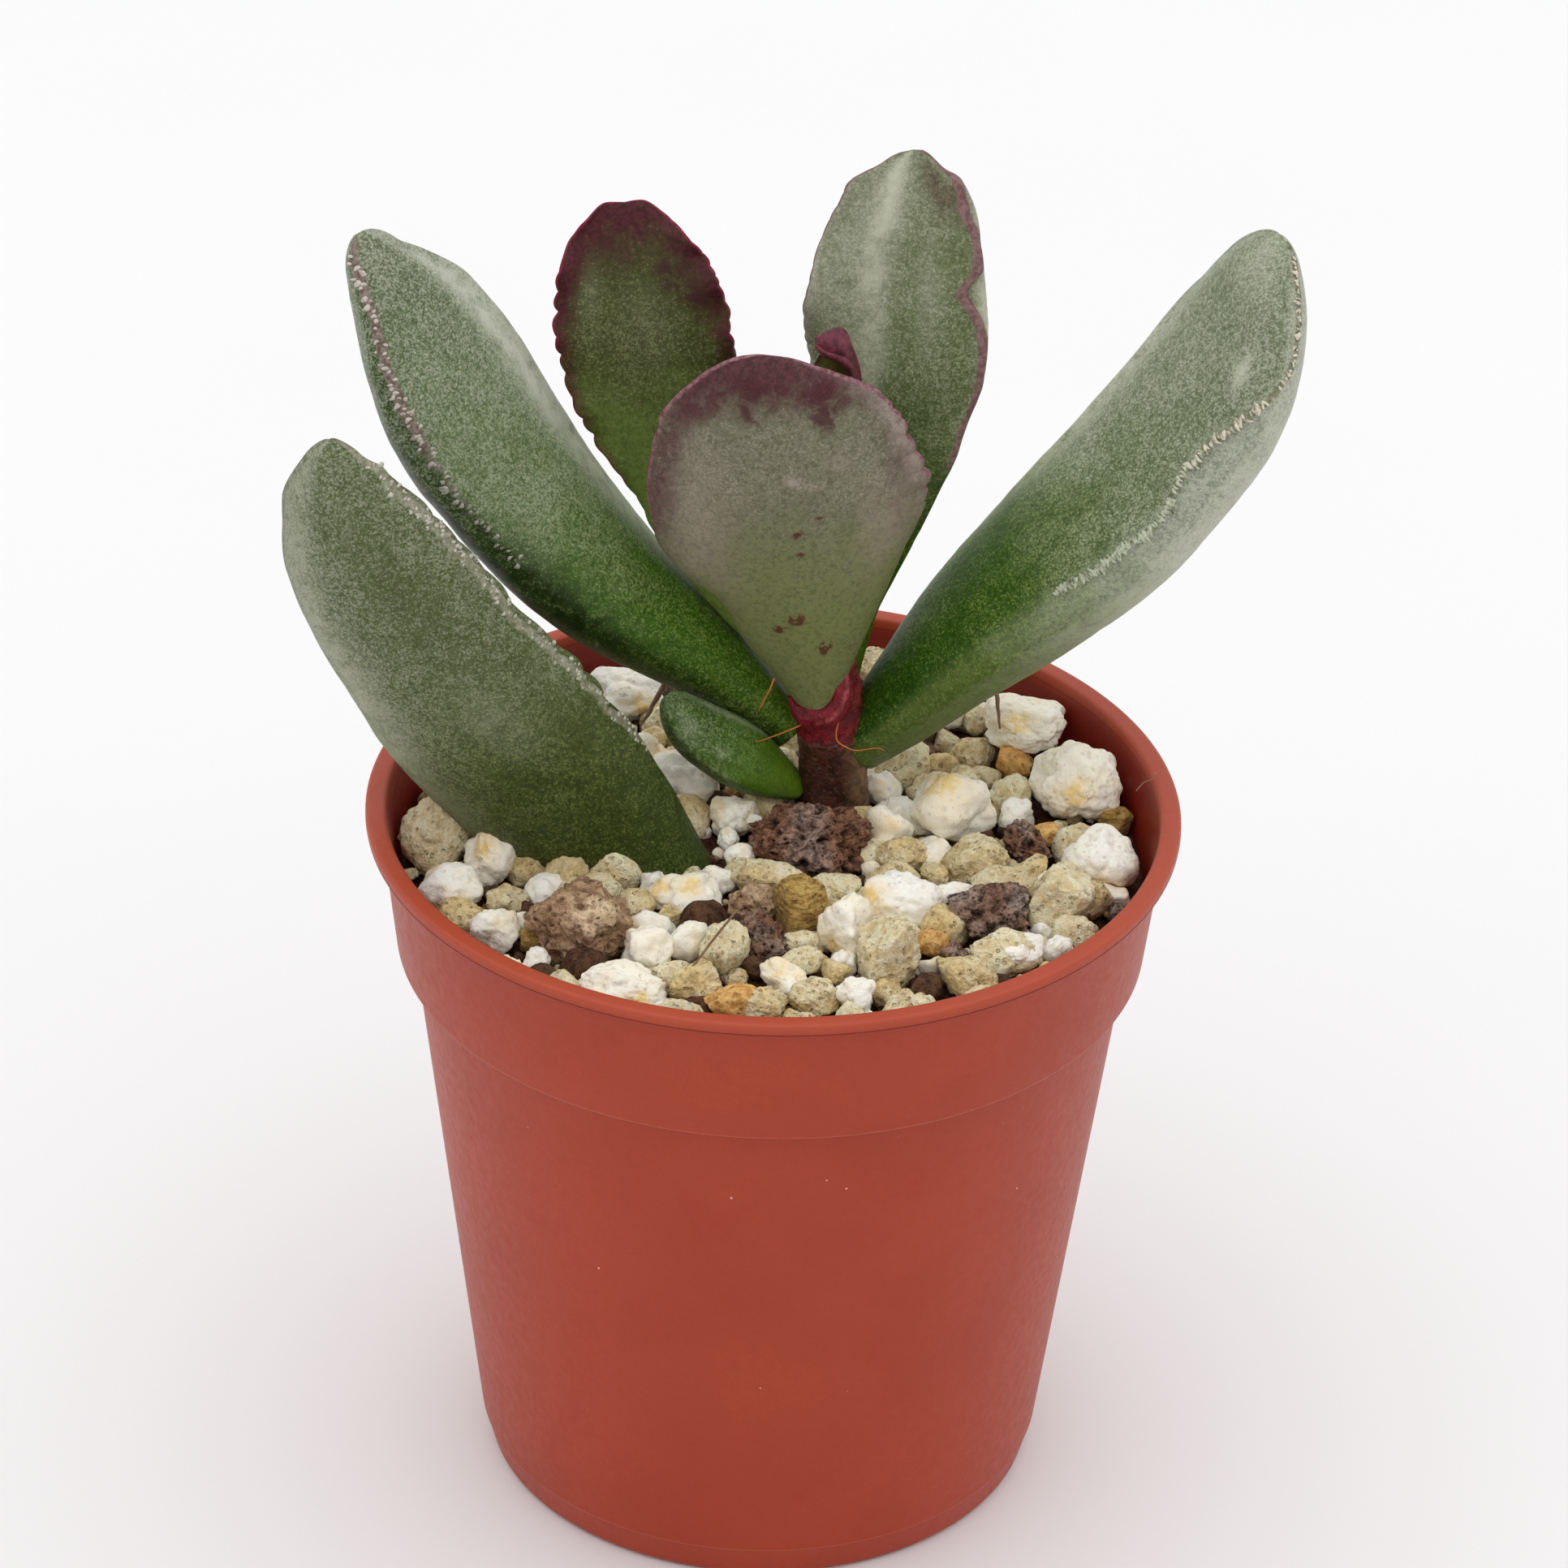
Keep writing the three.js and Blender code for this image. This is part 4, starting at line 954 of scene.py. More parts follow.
def pot_material():
    s = Shader("terracotta_plastic")
    drift = s.noise(0.09, 3.0, 0.55)
    mottle = s.noise(1.6, 3.0, 0.6)
    grain = s.noise(6.0, 2.0, 0.6)
    colour = s.between(s.band(drift, 0.3, 0.7), (160, 55, 28), (167, 59, 32))
    colour = s.tint(colour, s.band(mottle, 0.35, 0.7, 0, 0.2), (150, 54, 26))
    colour = s.tint(colour, s.band(grain, 0.45, 0.7, 0, 0.25), (150, 48, 26))
    smudge = s.band(s.noise(0.14, 4.0, 0.6, 0.6, shift=3.0), 0.6, 0.74, 0, 0.35)
    colour = s.tint(colour, smudge, (158, 40, 22))
    height = s.height()
    # Painted shade: a dark line in the groove under the lip
    groove_shade = s.absolute(s.minus(height, POT_HEIGHT - RIM_THICKNESS + 0.16))
    colour = s.tint(colour, s.band(groove_shade, 0.1, 0.03, 0, 0.6), (104, 26, 16))
    ledge = s.minus(COLLAR_BOTTOM - 0.1, height)
    # Painted highlight: a pale line along the lower edge of the collar
    edge = s.absolute(s.plus(ledge, 0.16))
    colour = s.tint(colour, s.band(edge, 0.16, 0.05, 0, 0.4), (196, 96, 66))
    # Painted shade: the inner wall above the mix is darkened
    wall_run = RIM_RADIUS - LIP_WIDTH - COLLAR_BOTTOM_RADIUS + WALL
    wall_slope = wall_run / (POT_HEIGHT - COLLAR_BOTTOM - LEDGE_HEIGHT)
    wall_here = s.times(s.minus(POT_HEIGHT, height), wall_slope)
    proud = s.plus(s.minus(s.from_axis(), RIM_RADIUS - LIP_WIDTH), wall_here)
    inside = s.times(s.band(proud, 0.4, 0.15), s.band(height, POT_HEIGHT - 0.15, POT_HEIGHT - 1.4))
    inside = s.times(inside, s.band(height, MIX_LEVEL - 3, MIX_LEVEL - 2))
    colour = s.tint(colour, s.times(inside, 0.75), (112, 22, 14))
    # Painted shade just below the collar's ledge
    under = s.band(ledge, 0.9, 0.1)
    colour = s.tint(colour, s.times(s.times(under, s.band(ledge, 0.0, 0.1)), 0.35), (128, 38, 22))
    # Painted highlight: the top of the rim is paler
    colour = s.tint(colour, s.band(height, POT_HEIGHT - 0.9, POT_HEIGHT - 0.1, 0, 0.3), (196, 96, 70))
    # Painted highlight: a pale line along the crease at the top of the foot
    crease_highlight = s.absolute(s.minus(height, FOOT_HEIGHT))
    colour = s.tint(colour, s.band(crease_highlight, 0.07, 0.02, 0, 0.45), (196, 96, 62))
    speck = s.band(s.cells(0.28), 0.03, 0.015)
    colour = s.tint(colour, speck, (222, 170, 150))
    scratch_place = s.vector("MULTIPLY", s.place, (0.8, 0.8, 2.0))
    scratch = s.band(s.noise(0.4, 5.0, 0.7, 2.0, scratch_place), 0.725, 0.735)
    colour = s.tint(colour, s.times(scratch, 0.35), (205, 130, 108))
    normal = s.bump(grain, 0.012, s.bump(s.noise(0.5, 3.0, 0.6), 0.05))
    roughness = s.band(mottle, 0.2, 0.8, 0.38, 0.5)
    return s.finish(colour, roughness, normal, Specular_IOR_Level=0.3)


def leaf_material(name, look):
    s = Shader(name + "_skin")
    along = s.attribute("along")
    drift = s.noise(0.17, 4.0, 0.6, 0.5)
    mottle = s.noise(0.8, 4.0, 0.65, 0.3)
    grain = s.noise(3.0, 5.0, 0.72)
    fine = s.noise(6.6, 3.0, 0.65, shift=4.0)
    uneven_drift = s.minus(drift, 0.5)
    uneven_mottle = s.minus(mottle, 0.5)

    shifted = s.plus(along, s.times(uneven_drift, 0.4), clamp=True)
    body = s.ramp(shifted, look["body"])
    back = s.between(s.band(shifted, 0.2, 0.6), look["back_base"], look["back"])
    colour = s.mix(s.attribute("inner"), back, body)
    dark = s.plus(grain, s.times(uneven_mottle, 0.2))
    darkened = s.mix(1.0, colour, (0.5, 0.54, 0.4, 1), "MULTIPLY")
    colour = s.mix(s.band(dark, 0.54, 0.36, 0.0, 0.6), colour, darkened)

    stain = s.times(s.attribute("stain"), s.band(s.noise(0.5, 4.0, 0.65, 0.5), 0.2, 0.65, 0.55, 1.25))
    stained = s.band(stain, 0.05, 1.0, 0, 0.9)
    stain_colour = s.between(s.band(grain, 0.4, 0.58), [0.72 * c for c in look["stain"]], look["stain"])
    colour = s.mix(stained, colour, stain_colour)
    # Dark drips; on the left leaf one of them is painted shade from the mother leaf
    drip = s.times(s.attribute("drip"), s.band(s.noise(0.7, 4.0, 0.65, 0.4, shift=6.0), 0.3, 0.6, 0.3, 1.3))
    colour = s.tint(colour, s.band(drip, 0.1, 1.0, 0, 0.85), look["drip"])
    # Pale waxy bloom, with painted sheen and highlights laid on the same marks
    cloud = s.band(s.noise(0.8, 3.0, 0.6, 0.3, shift=9.0), 0.3, 0.6, 0.55, 1.1)
    bloom_and_sheen = s.times(s.attribute("sheen_bloom"), cloud)
    colour = s.tint(colour, s.times(bloom_and_sheen, 0.6, clamp=True), look["sheen_bloom"])

    cover = s.band(shifted, 0.15, 0.6, *look["fleck_cover"])
    bare = s.times(s.plus(stained, drip, clamp=True), BARE_STAINS)
    cover = s.plus(cover, s.times(s.minus(bloom_and_sheen, bare), 0.25))
    level = s.plus(s.times(fine, 0.62), s.times(grain, 0.38))
    level = s.plus(level, s.times(s.plus(uneven_mottle, uneven_drift), 0.12))
    threshold = s.minus(0.62, s.times(cover, 0.26))
    fleck = s.band(s.minus(level, threshold), -0.07, 0.1)
    strength = s.plus(0.26, s.times(cover, 0.52), clamp=True)
    high = s.band(shifted, 0.3, 0.72)
    fleck_colour = s.between(high, np.multiply(look["fleck"], LOW_FLECK), look["fleck"])
    dot_colour = s.between(high, np.multiply(look["dot"], LOW_FLECK), look["dot"])
    colour = s.mix(s.times(fleck, strength), colour, fleck_colour)
    salt = s.times(s.band(s.cells(4.6), 0.28, 0.14), s.band(level, 0.42, 0.56))
    salt = s.times(salt, s.plus(0.12, s.times(cover, 0.8)), clamp=True)
    colour = s.mix(salt, colour, dot_colour)
    dots = s.times(s.band(s.cells(1.7), 0.13, 0.05), look["dots"])
    colour = s.mix(s.minus(dots, bare, clamp=True), colour, dot_colour)

    spot = s.times(s.attribute("spot"), s.band(s.noise(1.6, 3.0, 0.6), 0.35, 0.6, 0.3, 1.3))
    colour = s.tint(colour, s.band(spot, 0.2, 0.7, 0, 0.85), (84, 28, 26))
    ragged = s.plus(s.attribute("rim"), s.times(s.minus(s.noise(2.2, 3.0), 0.5), 0.9))
    margin = s.between(s.band(s.noise(2.6, 3.0, 0.6, shift=2.0), 0.35, 0.65), look["gap"], look["margin"])
    colour = s.mix(s.band(ragged, 0.3, 0.75, 0, 0.9), colour, margin)

    normal = s.bump(grain, 0.06, s.bump(mottle, 0.11))
    roughness = s.band(s.plus(fleck, bloom_and_sheen), 0.0, 1.4, look["shine"], look["shine"] + 0.2)
    return s.finish(colour, roughness, normal, Specular_IOR_Level=0.16)


def knob_material(name, look):
    s = Shader(name + "_knob")
    worn = s.band(s.noise(1.7, 3.0, 0.6), 0.26, 0.56)
    crust = s.between(s.band(s.attribute("along"), 0.62, 0.78), look["low_knob"], look["knob"])
    colour = s.mix(worn, paint(look["gap"]), crust)
    return s.finish(colour, 0.6, s.bump(s.noise(4.0, 2.0), 0.04), Specular_IOR_Level=0.4)


def stem_material():
    s = Shader("stem_bark")
    height = s.attribute("height")
    wrinkle = s.noise(1.1, 4.0, 0.65, 0.6)
    brown = s.between(s.band(wrinkle, 0.3, 0.7), (38, 10, 5), (86, 42, 28))
    magenta = s.between(s.band(wrinkle, 0.3, 0.7), (84, 0, 16), (136, 12, 34))
    limit = s.plus(height, s.times(s.minus(wrinkle, 0.5), 1.2))
    colour = s.mix(s.band(limit, 51.6, 52.6), brown, magenta)
    scar = s.minus(1.0, s.times(s.absolute(s.minus(limit, 52.0)), 5.0))
    colour = s.tint(colour, s.times(s.band(scar, 0.0, 1.0), 0.4), (160, 112, 100))
    # Painted light: a paler tan on the side of the stem that faces +x
    tan = s.times(s.attribute("tan"), s.band(wrinkle, 0.3, 0.6, 0.35, 1.0))
    colour = s.tint(colour, s.times(tan, s.band(limit, 52.4, 51.6, 0.15, 0.9)), (136, 108, 76))
    streak = s.times(s.attribute("streak"), s.band(wrinkle, 0.35, 0.65, 0.2, 1.0))
    colour = s.tint(colour, s.times(streak, 0.6), (206, 110, 112))
    flake = s.band(s.noise(2.4, 3.0, 0.7, 0.5, shift=5.0), 0.56, 0.7)
    speck = s.band(s.cells(2.6), 0.16, 0.08)
    pale = s.plus(s.times(flake, 0.35), s.times(speck, 0.4), clamp=True)
    colour = s.tint(colour, s.times(pale, s.band(height, 52.6, 51.6, 0.25, 1.0)), (158, 136, 112))
    normal = s.bump(s.noise(3.0, 3.0, 0.65), 0.12, s.bump(wrinkle, 0.25))
    return s.finish(colour, 0.5, normal, Specular_IOR_Level=0.35)


def dry_material(name, scale, low, high, roughness):
    s = Shader(name)
    colour = s.between(s.noise(scale, 3.0), low, high)
    return s.finish(colour, roughness, s.bump(s.noise(4.0, 2.0), 0.04))


# Colours of stones as red, green and blue from 0 to 255: dark and light grain, second dark and light grain,
# stain, specks and the painted shade in pits, then how strongly specks and the pit shade show
STONE_LOOKS = {
    "perlite": [(249, 244, 233), (255, 254, 248), (247, 238, 216), (255, 248, 228), (240, 202, 112),
                (134, 114, 90), (176, 160, 136), 0.42, 0.42],
    "pumice": [(240, 216, 164), (255, 252, 222), (196, 168, 114), (248, 226, 178), (250, 220, 148),
               (124, 98, 58), (140, 110, 66), 0.4, 0.45],
    "lava": [(68, 53, 50), (206, 186, 172), (54, 27, 21), (170, 122, 92), (130, 90, 70), (30, 14, 10),
             (22, 6, 4), 0.3, 0.95],
    "rose": [(128, 86, 68), (220, 184, 152), (130, 98, 72), (200, 164, 126), (246, 220, 182),
             (84, 50, 34), (70, 40, 26), 0.4, 0.8],
    "bark": [(130, 94, 36), (232, 198, 118), (104, 72, 28), (196, 160, 92), (176, 130, 66), (66, 46, 20),
             (62, 42, 14), 0.3, 0.7],
    "amber": [(196, 136, 70), (250, 208, 134), (176, 122, 66), (232, 188, 118), (232, 172, 92),
              (110, 66, 28), (110, 62, 22), 0.3, 0.55],
    "soil": [(40, 20, 12), (110, 70, 48), (60, 40, 28), (120, 92, 66), (90, 60, 40), (20, 10, 6),
             (24, 12, 8), 0.3, 0.6],
}
STONE_BUMPS = {
    "perlite": (0.05, 0.14, 0.03), "pumice": (0.2, 0.36, 0.14), "lava": (0.2, 0.5, 0.2),
    "rose": (0.18, 0.42, 0.14), "bark": (0.1, 0.4, 0), "amber": (0.1, 0.25, 0.1), "soil": (0.2, 0.3, 0),
}
PORE_SHADE = 0.6


def stone_material(kind):
    s = Shader(kind + "_stone")
    dark, light, dark_2, light_2, stain, speck, pit, speck_share, pit_shade_share = STONE_LOOKS[kind]
    broad = s.noise(0.35, 3.0, 0.55)
    fine = s.noise(5.0, 3.0, 0.7)
    if kind == "bark":
        medium = s.noise(1.0, 4.0, 0.65, 0.3, s.vector("MULTIPLY", s.place, (1.0, 1.0, 5.0)))
    else:
        medium = s.noise(1.3, 4.0, 0.65)
    grain = s.plus(s.times(medium, 0.7), s.times(fine, 0.3))
    level = s.band(grain, 0.34, 0.64)
    colour = s.mix(s.attribute("tone"), s.between(level, dark, light), s.between(level, dark_2, light_2))
    patch = s.times(s.band(broad, 0.5, 0.75), 0.35)
    marked = s.times(s.attribute("stain"), s.band(medium, 0.3, 0.65, 0.5, 1.3))
    colour = s.mix(s.plus(patch, s.band(marked, 0.15, 1.1), clamp=True), colour, s.tint(colour, 0.5, stain))
    colour = s.tint(colour, s.band(marked, 0.55, 1.1, 0, 0.6), stain)
    specks = s.times(s.band(s.cells(2.1), 0.16, 0.07), s.band(medium, 0.42, 0.55))
    colour = s.tint(colour, s.times(specks, speck_share), speck)
    # Painted shade in the pits
    colour = s.tint(colour, s.times(s.attribute("pit"), pit_shade_share), pit)
    fine_depth, medium_depth, pore_depth = STONE_BUMPS[kind]
    pores = s.times(s.band(s.cells(1.9), 0.34, 0.2), s.band(s.noise(0.9, 3.0, 0.6, shift=7.0), 0.46, 0.54))
    colour = s.tint(colour, s.times(pores, PORE_SHADE * pit_shade_share), pit)
    normal = s.bump(fine, fine_depth, s.bump(medium, medium_depth))
    normal = s.bump(s.minus(1.0, pores), pore_depth, normal)
    return s.finish(colour, 0.88, normal, Specular_IOR_Level=0.25)


# Pot

def inner_wall():
    """Radii and heights of the pot's inside, from its floor up."""
    return [
        (BASE_RADIUS - WALL, FLOOR),
        (BODY_TOP_RADIUS - WALL, COLLAR_BOTTOM - LEDGE_HEIGHT),
        (COLLAR_BOTTOM_RADIUS - WALL, COLLAR_BOTTOM + LEDGE_HEIGHT),
        (RIM_RADIUS - LIP_WIDTH, POT_HEIGHT),
    ]


def make_pot():
    lip_base = POT_HEIGHT - RIM_THICKNESS
    inside = list(reversed(inner_wall()))
    # Radius, height and rounding, from the middle of the foot up the outside and down the inside
    corners = [
        (0, 0, 0),
        (BASE_RADIUS - BASE_BEVEL, 0, 0.15),
        (BASE_RADIUS, BASE_BEVEL, 0.15),
        (FOOT_TOP_RADIUS - 0.06, FOOT_HEIGHT - 0.12, 0.05),
        (FOOT_TOP_RADIUS + 0.03, FOOT_HEIGHT, 0.05),
        (BODY_TOP_RADIUS, COLLAR_BOTTOM - LEDGE_HEIGHT, 0.3),
        (BODY_TOP_RADIUS + 0.1, COLLAR_BOTTOM - 0.2, 0.12),
        (COLLAR_BOTTOM_RADIUS, COLLAR_BOTTOM, 0.25),
        (COLLAR_TOP_RADIUS, lip_base, 0.12),
        (RIM_RADIUS - 0.1, lip_base, 0.04),
        (RIM_RADIUS - 0.02, lip_base + 0.1, 0.04),
        (RIM_RADIUS - 0.07, lip_base + 0.17, 0.03),
        (RIM_RADIUS, lip_base + 0.26, 0.04),
        (RIM_RADIUS, POT_HEIGHT, 0.34),
        (*inside[0], 0.3),
        (*inside[1], 0.4),
        (*inside[2], 0.4),
        (*inside[3], 0.3),
        (0, FLOOR, 0),
    ]
    outline = refined(rounded(corners), POT_FACE_LENGTH)
    points = lathe_points(outline, POT_SIDES)
    mesh = make_mesh("pot_wall", points, loft_faces(len(outline) - 2, POT_SIDES))
    drain(add_piece("pot_wall", mesh, pot_material(), ["pot"]))


def drain(piece):
    """Cuts the drain holes."""
    build = bmesh.new()
    for i in range(DRAIN_HOLES):
        turn = 2 * math.pi * i / DRAIN_HOLES
        place = Vector((DRAIN_CIRCLE * math.cos(turn), DRAIN_CIRCLE * math.sin(turn), 0)) * MM
        bmesh.ops.create_cone(build, cap_ends=True, segments=DRAIN_SIDES, radius1=DRAIN_RADIUS * MM,
                              radius2=DRAIN_RADIUS * MM, depth=4 * FLOOR * MM,
                              matrix=Matrix.Translation(place))
    cutter_mesh = bpy.data.meshes.new("drain_cutter")
    build.to_mesh(cutter_mesh)
    build.free()
    cutter = add_object("drain_cutter", cutter_mesh)
    cut = piece.modifiers.new("drain", "BOOLEAN")
    cut.operation = "DIFFERENCE"
    cut.solver = "EXACT"
    cut.object = cutter
    bpy.context.view_layer.update()
    finished = bpy.data.meshes.new_from_object(piece.evaluated_get(bpy.context.evaluated_depsgraph_get()))
    piece.modifiers.clear()
    piece.data = finished
    bpy.data.objects.remove(cutter)
    finished.shade_smooth()
    finished.set_sharp_from_angle(angle=math.radians(POT_EDGE_ANGLE))


# Leaves

def taper(t, numbers):
    """Share of the greatest width or depth at t."""
    peak, neck, flare, blunt = numbers
    rise = neck + (1 - neck) * np.sin(np.pi / 2 * np.minimum(t / peak, 1)) ** flare
    past = np.maximum((t - peak) / (1 - peak), 0)
    return rise * np.sqrt(np.maximum(1 - past**blunt, 0))


def soft_spots(spots, along, across, face):
    """How strongly soft marks show at each point of a leaf."""
    total = np.zeros(len(along))
    for side, middle, x, reach_along, reach_across, strength in spots:
        shape = np.exp(-((along - middle) / reach_along) ** 2 - ((across - x) / reach_across) ** 2)
        total += strength * shape * (face * side > 0)
    return total


def smoothed(pairs, x):
    """Values read at x from pairs of place and value, with the corners smoothed."""
    places, values = np.array(pairs, float).T
    window = np.hanning(SMOOTHING)
    longer = np.pad(np.interp(x, places, values), SMOOTHING // 2, "edge")
    return np.convolve(longer, window / window.sum(), "valid")


def along_leaf(value, t):
    """One number for the whole leaf, or pairs of place and number that are read along it."""
    if isinstance(value, (int, float)):
        return np.full(len(t), float(value))
    return smoothed(value, t)


def spaced(start, end, count, ends):
    """Angles from start to end at each station, with or without those two."""
    steps = np.linspace(0, 1, count) if ends else np.arange(1, count + 1) / (count + 1)
    return start[:, None] + (end - start)[:, None] * steps


def margin_shift(margin, t, length, seed):
    """How far a margin stands out from its even line, in millimetres: fine part and outline part."""
    size, pitch = margin["drift"]
    fine = size * line_noise(t * length / pitch, seed)
    size, pitch, top = margin["lobes"]
    turn = t * length / pitch + LOBE_UNEVEN[0] * line_noise(t * length / (1.7 * pitch), seed + 1)
    uneven = 1 + LOBE_UNEVEN[1] * line_noise(t * length / (1.2 * pitch), seed + 2)
    size = size * smoothstep(top + LOBE_FADE, top, t) * uneven
    fine = fine + size * (np.abs(np.sin(np.pi * turn)) ** LOBE_ROUND[0] - LOBE_ROUND[1])
    return fine, along_leaf(margin["outline"], t)


def with_ends(values, first, last):
    """One number for each point of a skin, with those of the two closing points."""
    return np.concatenate([[first], np.asarray(values, float).ravel(), [last]])


class Leaf:
    """The skin of one leaf, as a ring of points at each station along its spine."""

    def __init__(self, spec, seed):
        self.spec = PLAIN_LEAF | spec
        self.margins = [PLAIN_MARGIN | margin for margin in spec["margins"]]
        self.seed = seed
        across_tip = np.linspace(-TIP_SPAN, TIP_SPAN, TIP_STEPS)
        self.tip = (across_tip, smoothed(self.spec["tip"], across_tip))
        self.set_stations()
        self.set_section()
        self.set_skin()
        self.set_outward()
        self.add_dents()

    def set_stations(self):
        """Stations, closer together near the tip, and the leaf's own directions at each."""
        spec = self.spec
        count = SMALL_LEAF_STATIONS if spec["half_width"] < SMALL_LEAF_WIDTH else LEAF_STATIONS
        self.even = np.arange(count) / count
        self.t = 0.5 * self.even + 0.5 * np.sin(np.pi / 2 * self.even)
        self.centre, self.along = catmull(spec["spine"], self.t)
        self.length = np.linalg.norm(np.diff(self.centre, axis=0), axis=1).sum()
        normal = np.outer(1 - self.t, spec["face"][0]) + np.outer(self.t, spec["face"][1])
        self.normal = unit(normal - (normal * self.along).sum(1)[:, None] * self.along)
        self.side = np.cross(self.along, self.normal)

    def set_section(self):
        """Half width and depth at each station, and the angles of its points, close on the margins."""
        spec, t = self.spec, self.t
        self.ridged = smoothstep(spec["bare_to"], spec["bare_to"] + RIDGE_FADE, t)
        self.ridge = spec["ridge"] * self.ridged
        self.half = np.maximum(spec["half_width"] * taper(t, spec["shape"]) - self.ridge, THINNEST)
        self.depth = taper(t, spec["depth"])
        thick = 0.5 * (spec["inner"] + spec["outer"]) * self.depth
        drop = 1 - smoothstep(*spec["lift_drop"], t)
        self.lifts = []
        spreads = []
        for k, margin in enumerate(self.margins):
            size, pitch = margin["meander"]
            lift = np.radians(along_leaf(margin["lift"], t)) * drop
            lift = lift + size * line_noise(t * self.length / pitch, self.seed + 20 * k) * self.ridged
            pace = np.hypot(self.half * np.sin(lift), thick * np.cos(lift))
            self.lifts.append(lift)
            spreads.append(np.clip(RIDGE_HALF_WIDTH / np.maximum(pace, 0.05), *RIDGE_ANGLES))
        first, second = self.lifts[0], np.pi - self.lifts[1]
        angle = np.hstack([
            spaced(first - spreads[0], first + spreads[0], MARGIN_POINTS, True),
            spaced(first + spreads[0], second - spreads[1], FACE_POINTS, False),
            spaced(second - spreads[1], second + spreads[1], MARGIN_POINTS, True),
            spaced(second + spreads[1], first - spreads[0] + 2 * np.pi, BACK_POINTS, False),
        ])
        self.across = np.cos(angle)
        self.rise = np.sin(angle)

    def set_skin(self):
        """The skin's points: even section, raised and shifted margins, waves and the shape of the tip."""
        spec, t, half, across, rise = self.spec, self.t, self.half, self.across, self.rise
        proud = np.zeros(across.shape)
        for crest in CRESTS:
            first = crest - MARGIN_POINTS // 2
            bump_shape = 1 - np.linspace(-1, 1, MARGIN_POINTS) ** 2
            proud[:, first:first + MARGIN_POINTS] = self.ridge[:, None] * bump_shape
        shifts = [margin_shift(margin, t, self.length, self.seed + 31 + 5 * k)
                  for k, margin in enumerate(self.margins)]
        fine = np.where(across > 0, *[(shift[0] * self.ridged)[:, None] for shift in shifts])
        outline = np.where(across > 0, *[shift[1][:, None] for shift in shifts])
        outline = outline * np.minimum(half / NARROW, 1)[:, None]
        width = half[:, None] + proud + outline * np.abs(across) + fine * np.abs(across) ** WAVE_EDGE
        deep = np.where(rise > 0, spec["inner"], spec["outer"]) * self.depth[:, None] * rise
        cup = spec["cup"] * (half / spec["half_width"])[:, None] * across**2
        size, number = spec["wave"]
        reach = size * smoothstep(spec["bare_to"], WAVE_FULL, t)
        swing = (reach * np.sin(2 * np.pi * number * t))[:, None] * across**WAVE_EDGE * np.sign(across)
        shift = np.interp(width * across, *self.tip) * smoothstep(*TIP_REACH, t)[:, None]
        self.skin = self.centre[:, None] + self.side[:, None] * (width * across)[..., None]
        self.skin += self.along[:, None] * shift[..., None]
        self.skin += self.normal[:, None] * (deep + cup + swing + proud * rise)[..., None]

    def set_outward(self):
        """The way each point faces, as on an even oval section."""
        inner = np.maximum(np.abs(self.spec["inner"] * self.depth), 0.2)
        outward = self.side[:, None] * (self.across / self.half[:, None])[..., None]
        outward += self.normal[:, None] * (self.rise / inner[:, None])[..., None]
        self.outward = unit(outward)

    def add_dents(self):
        """Shallow wide and fine unevenness, which fades out towards the tip and where the leaf is narrow."""
        flat = self.skin.reshape(-1, 3)
        fade = np.repeat(np.minimum(self.half / 2, 1) * (1 - self.even**8), LEAF_SIDES)
        wide, wide_scale = WIDE_DENTS
        small, small_scale = FINE_DENTS
        dents = wide * fractal(flat * wide_scale, self.seed + 40, 2)
        dents = dents + small * fractal(flat * small_scale, self.seed + 41, 3)
        flat = flat + self.outward.reshape(-1, 3) * (dents * fade)[:, None]
        self.skin = flat.reshape(self.skin.shape)

    def rim(self):
        """How strongly the margin's band colours each point."""
        rim = np.zeros(self.across.shape)
        for crest, margin in zip(CRESTS, self.margins):
            away = np.linalg.norm(self.skin - self.skin[:, crest:crest + 1], axis=-1)
            strength, reach = margin["rim"]
            strength = (along_leaf(strength, self.t) * self.ridged)[:, None]
            rim = np.maximum(rim, strength * smoothstep(1.5 * reach, 0.5 * reach, away))
        return rim

    def points(self):
        """All points, with one more before the first ring and one after the last."""
        place, direction = catmull(self.spec["spine"], np.array([0.0, 1.0]))
        start = place[:1] - direction[:1] * LEAF_END
        end = place[1:] + direction[1:] * np.interp(0, *self.tip)
        return np.vstack([start, self.skin.reshape(-1, 3), end])

    def marks(self):
        """The numbers that the leaf's material reads."""
        along = with_ends(np.repeat(self.t, LEAF_SIDES), 0, 1)
        across = with_ends(self.across, 0, 0)
        face = with_ends(np.where(self.rise > 0, 1, -1), 1, 1)
        middle = 0.5 * (np.sin(self.lifts[0]) + np.sin(self.lifts[1]))
        inner = with_ends(smoothstep(-0.15, 0.15, self.rise - middle[:, None]), 1, 1)
        marks = {"along": along, "inner": inner, "rim": with_ends(self.rim(), 0, 0)}
        for mark in ("stain", "drip", "sheen_bloom", "spot"):
            marks[mark] = soft_spots(self.spec[mark + "s"], along, across, face)
        return marks

    def knobs(self):
        """The crusts on each margin that has them."""
        return [
            make_knobs(self.skin[:, crest], self.outward[:, crest], self.t, self.length, margin["knobs"],
                       self.seed + 7 * k)
            for k, (crest, margin) in enumerate(zip(CRESTS, self.margins)) if margin["knobs"]
        ]


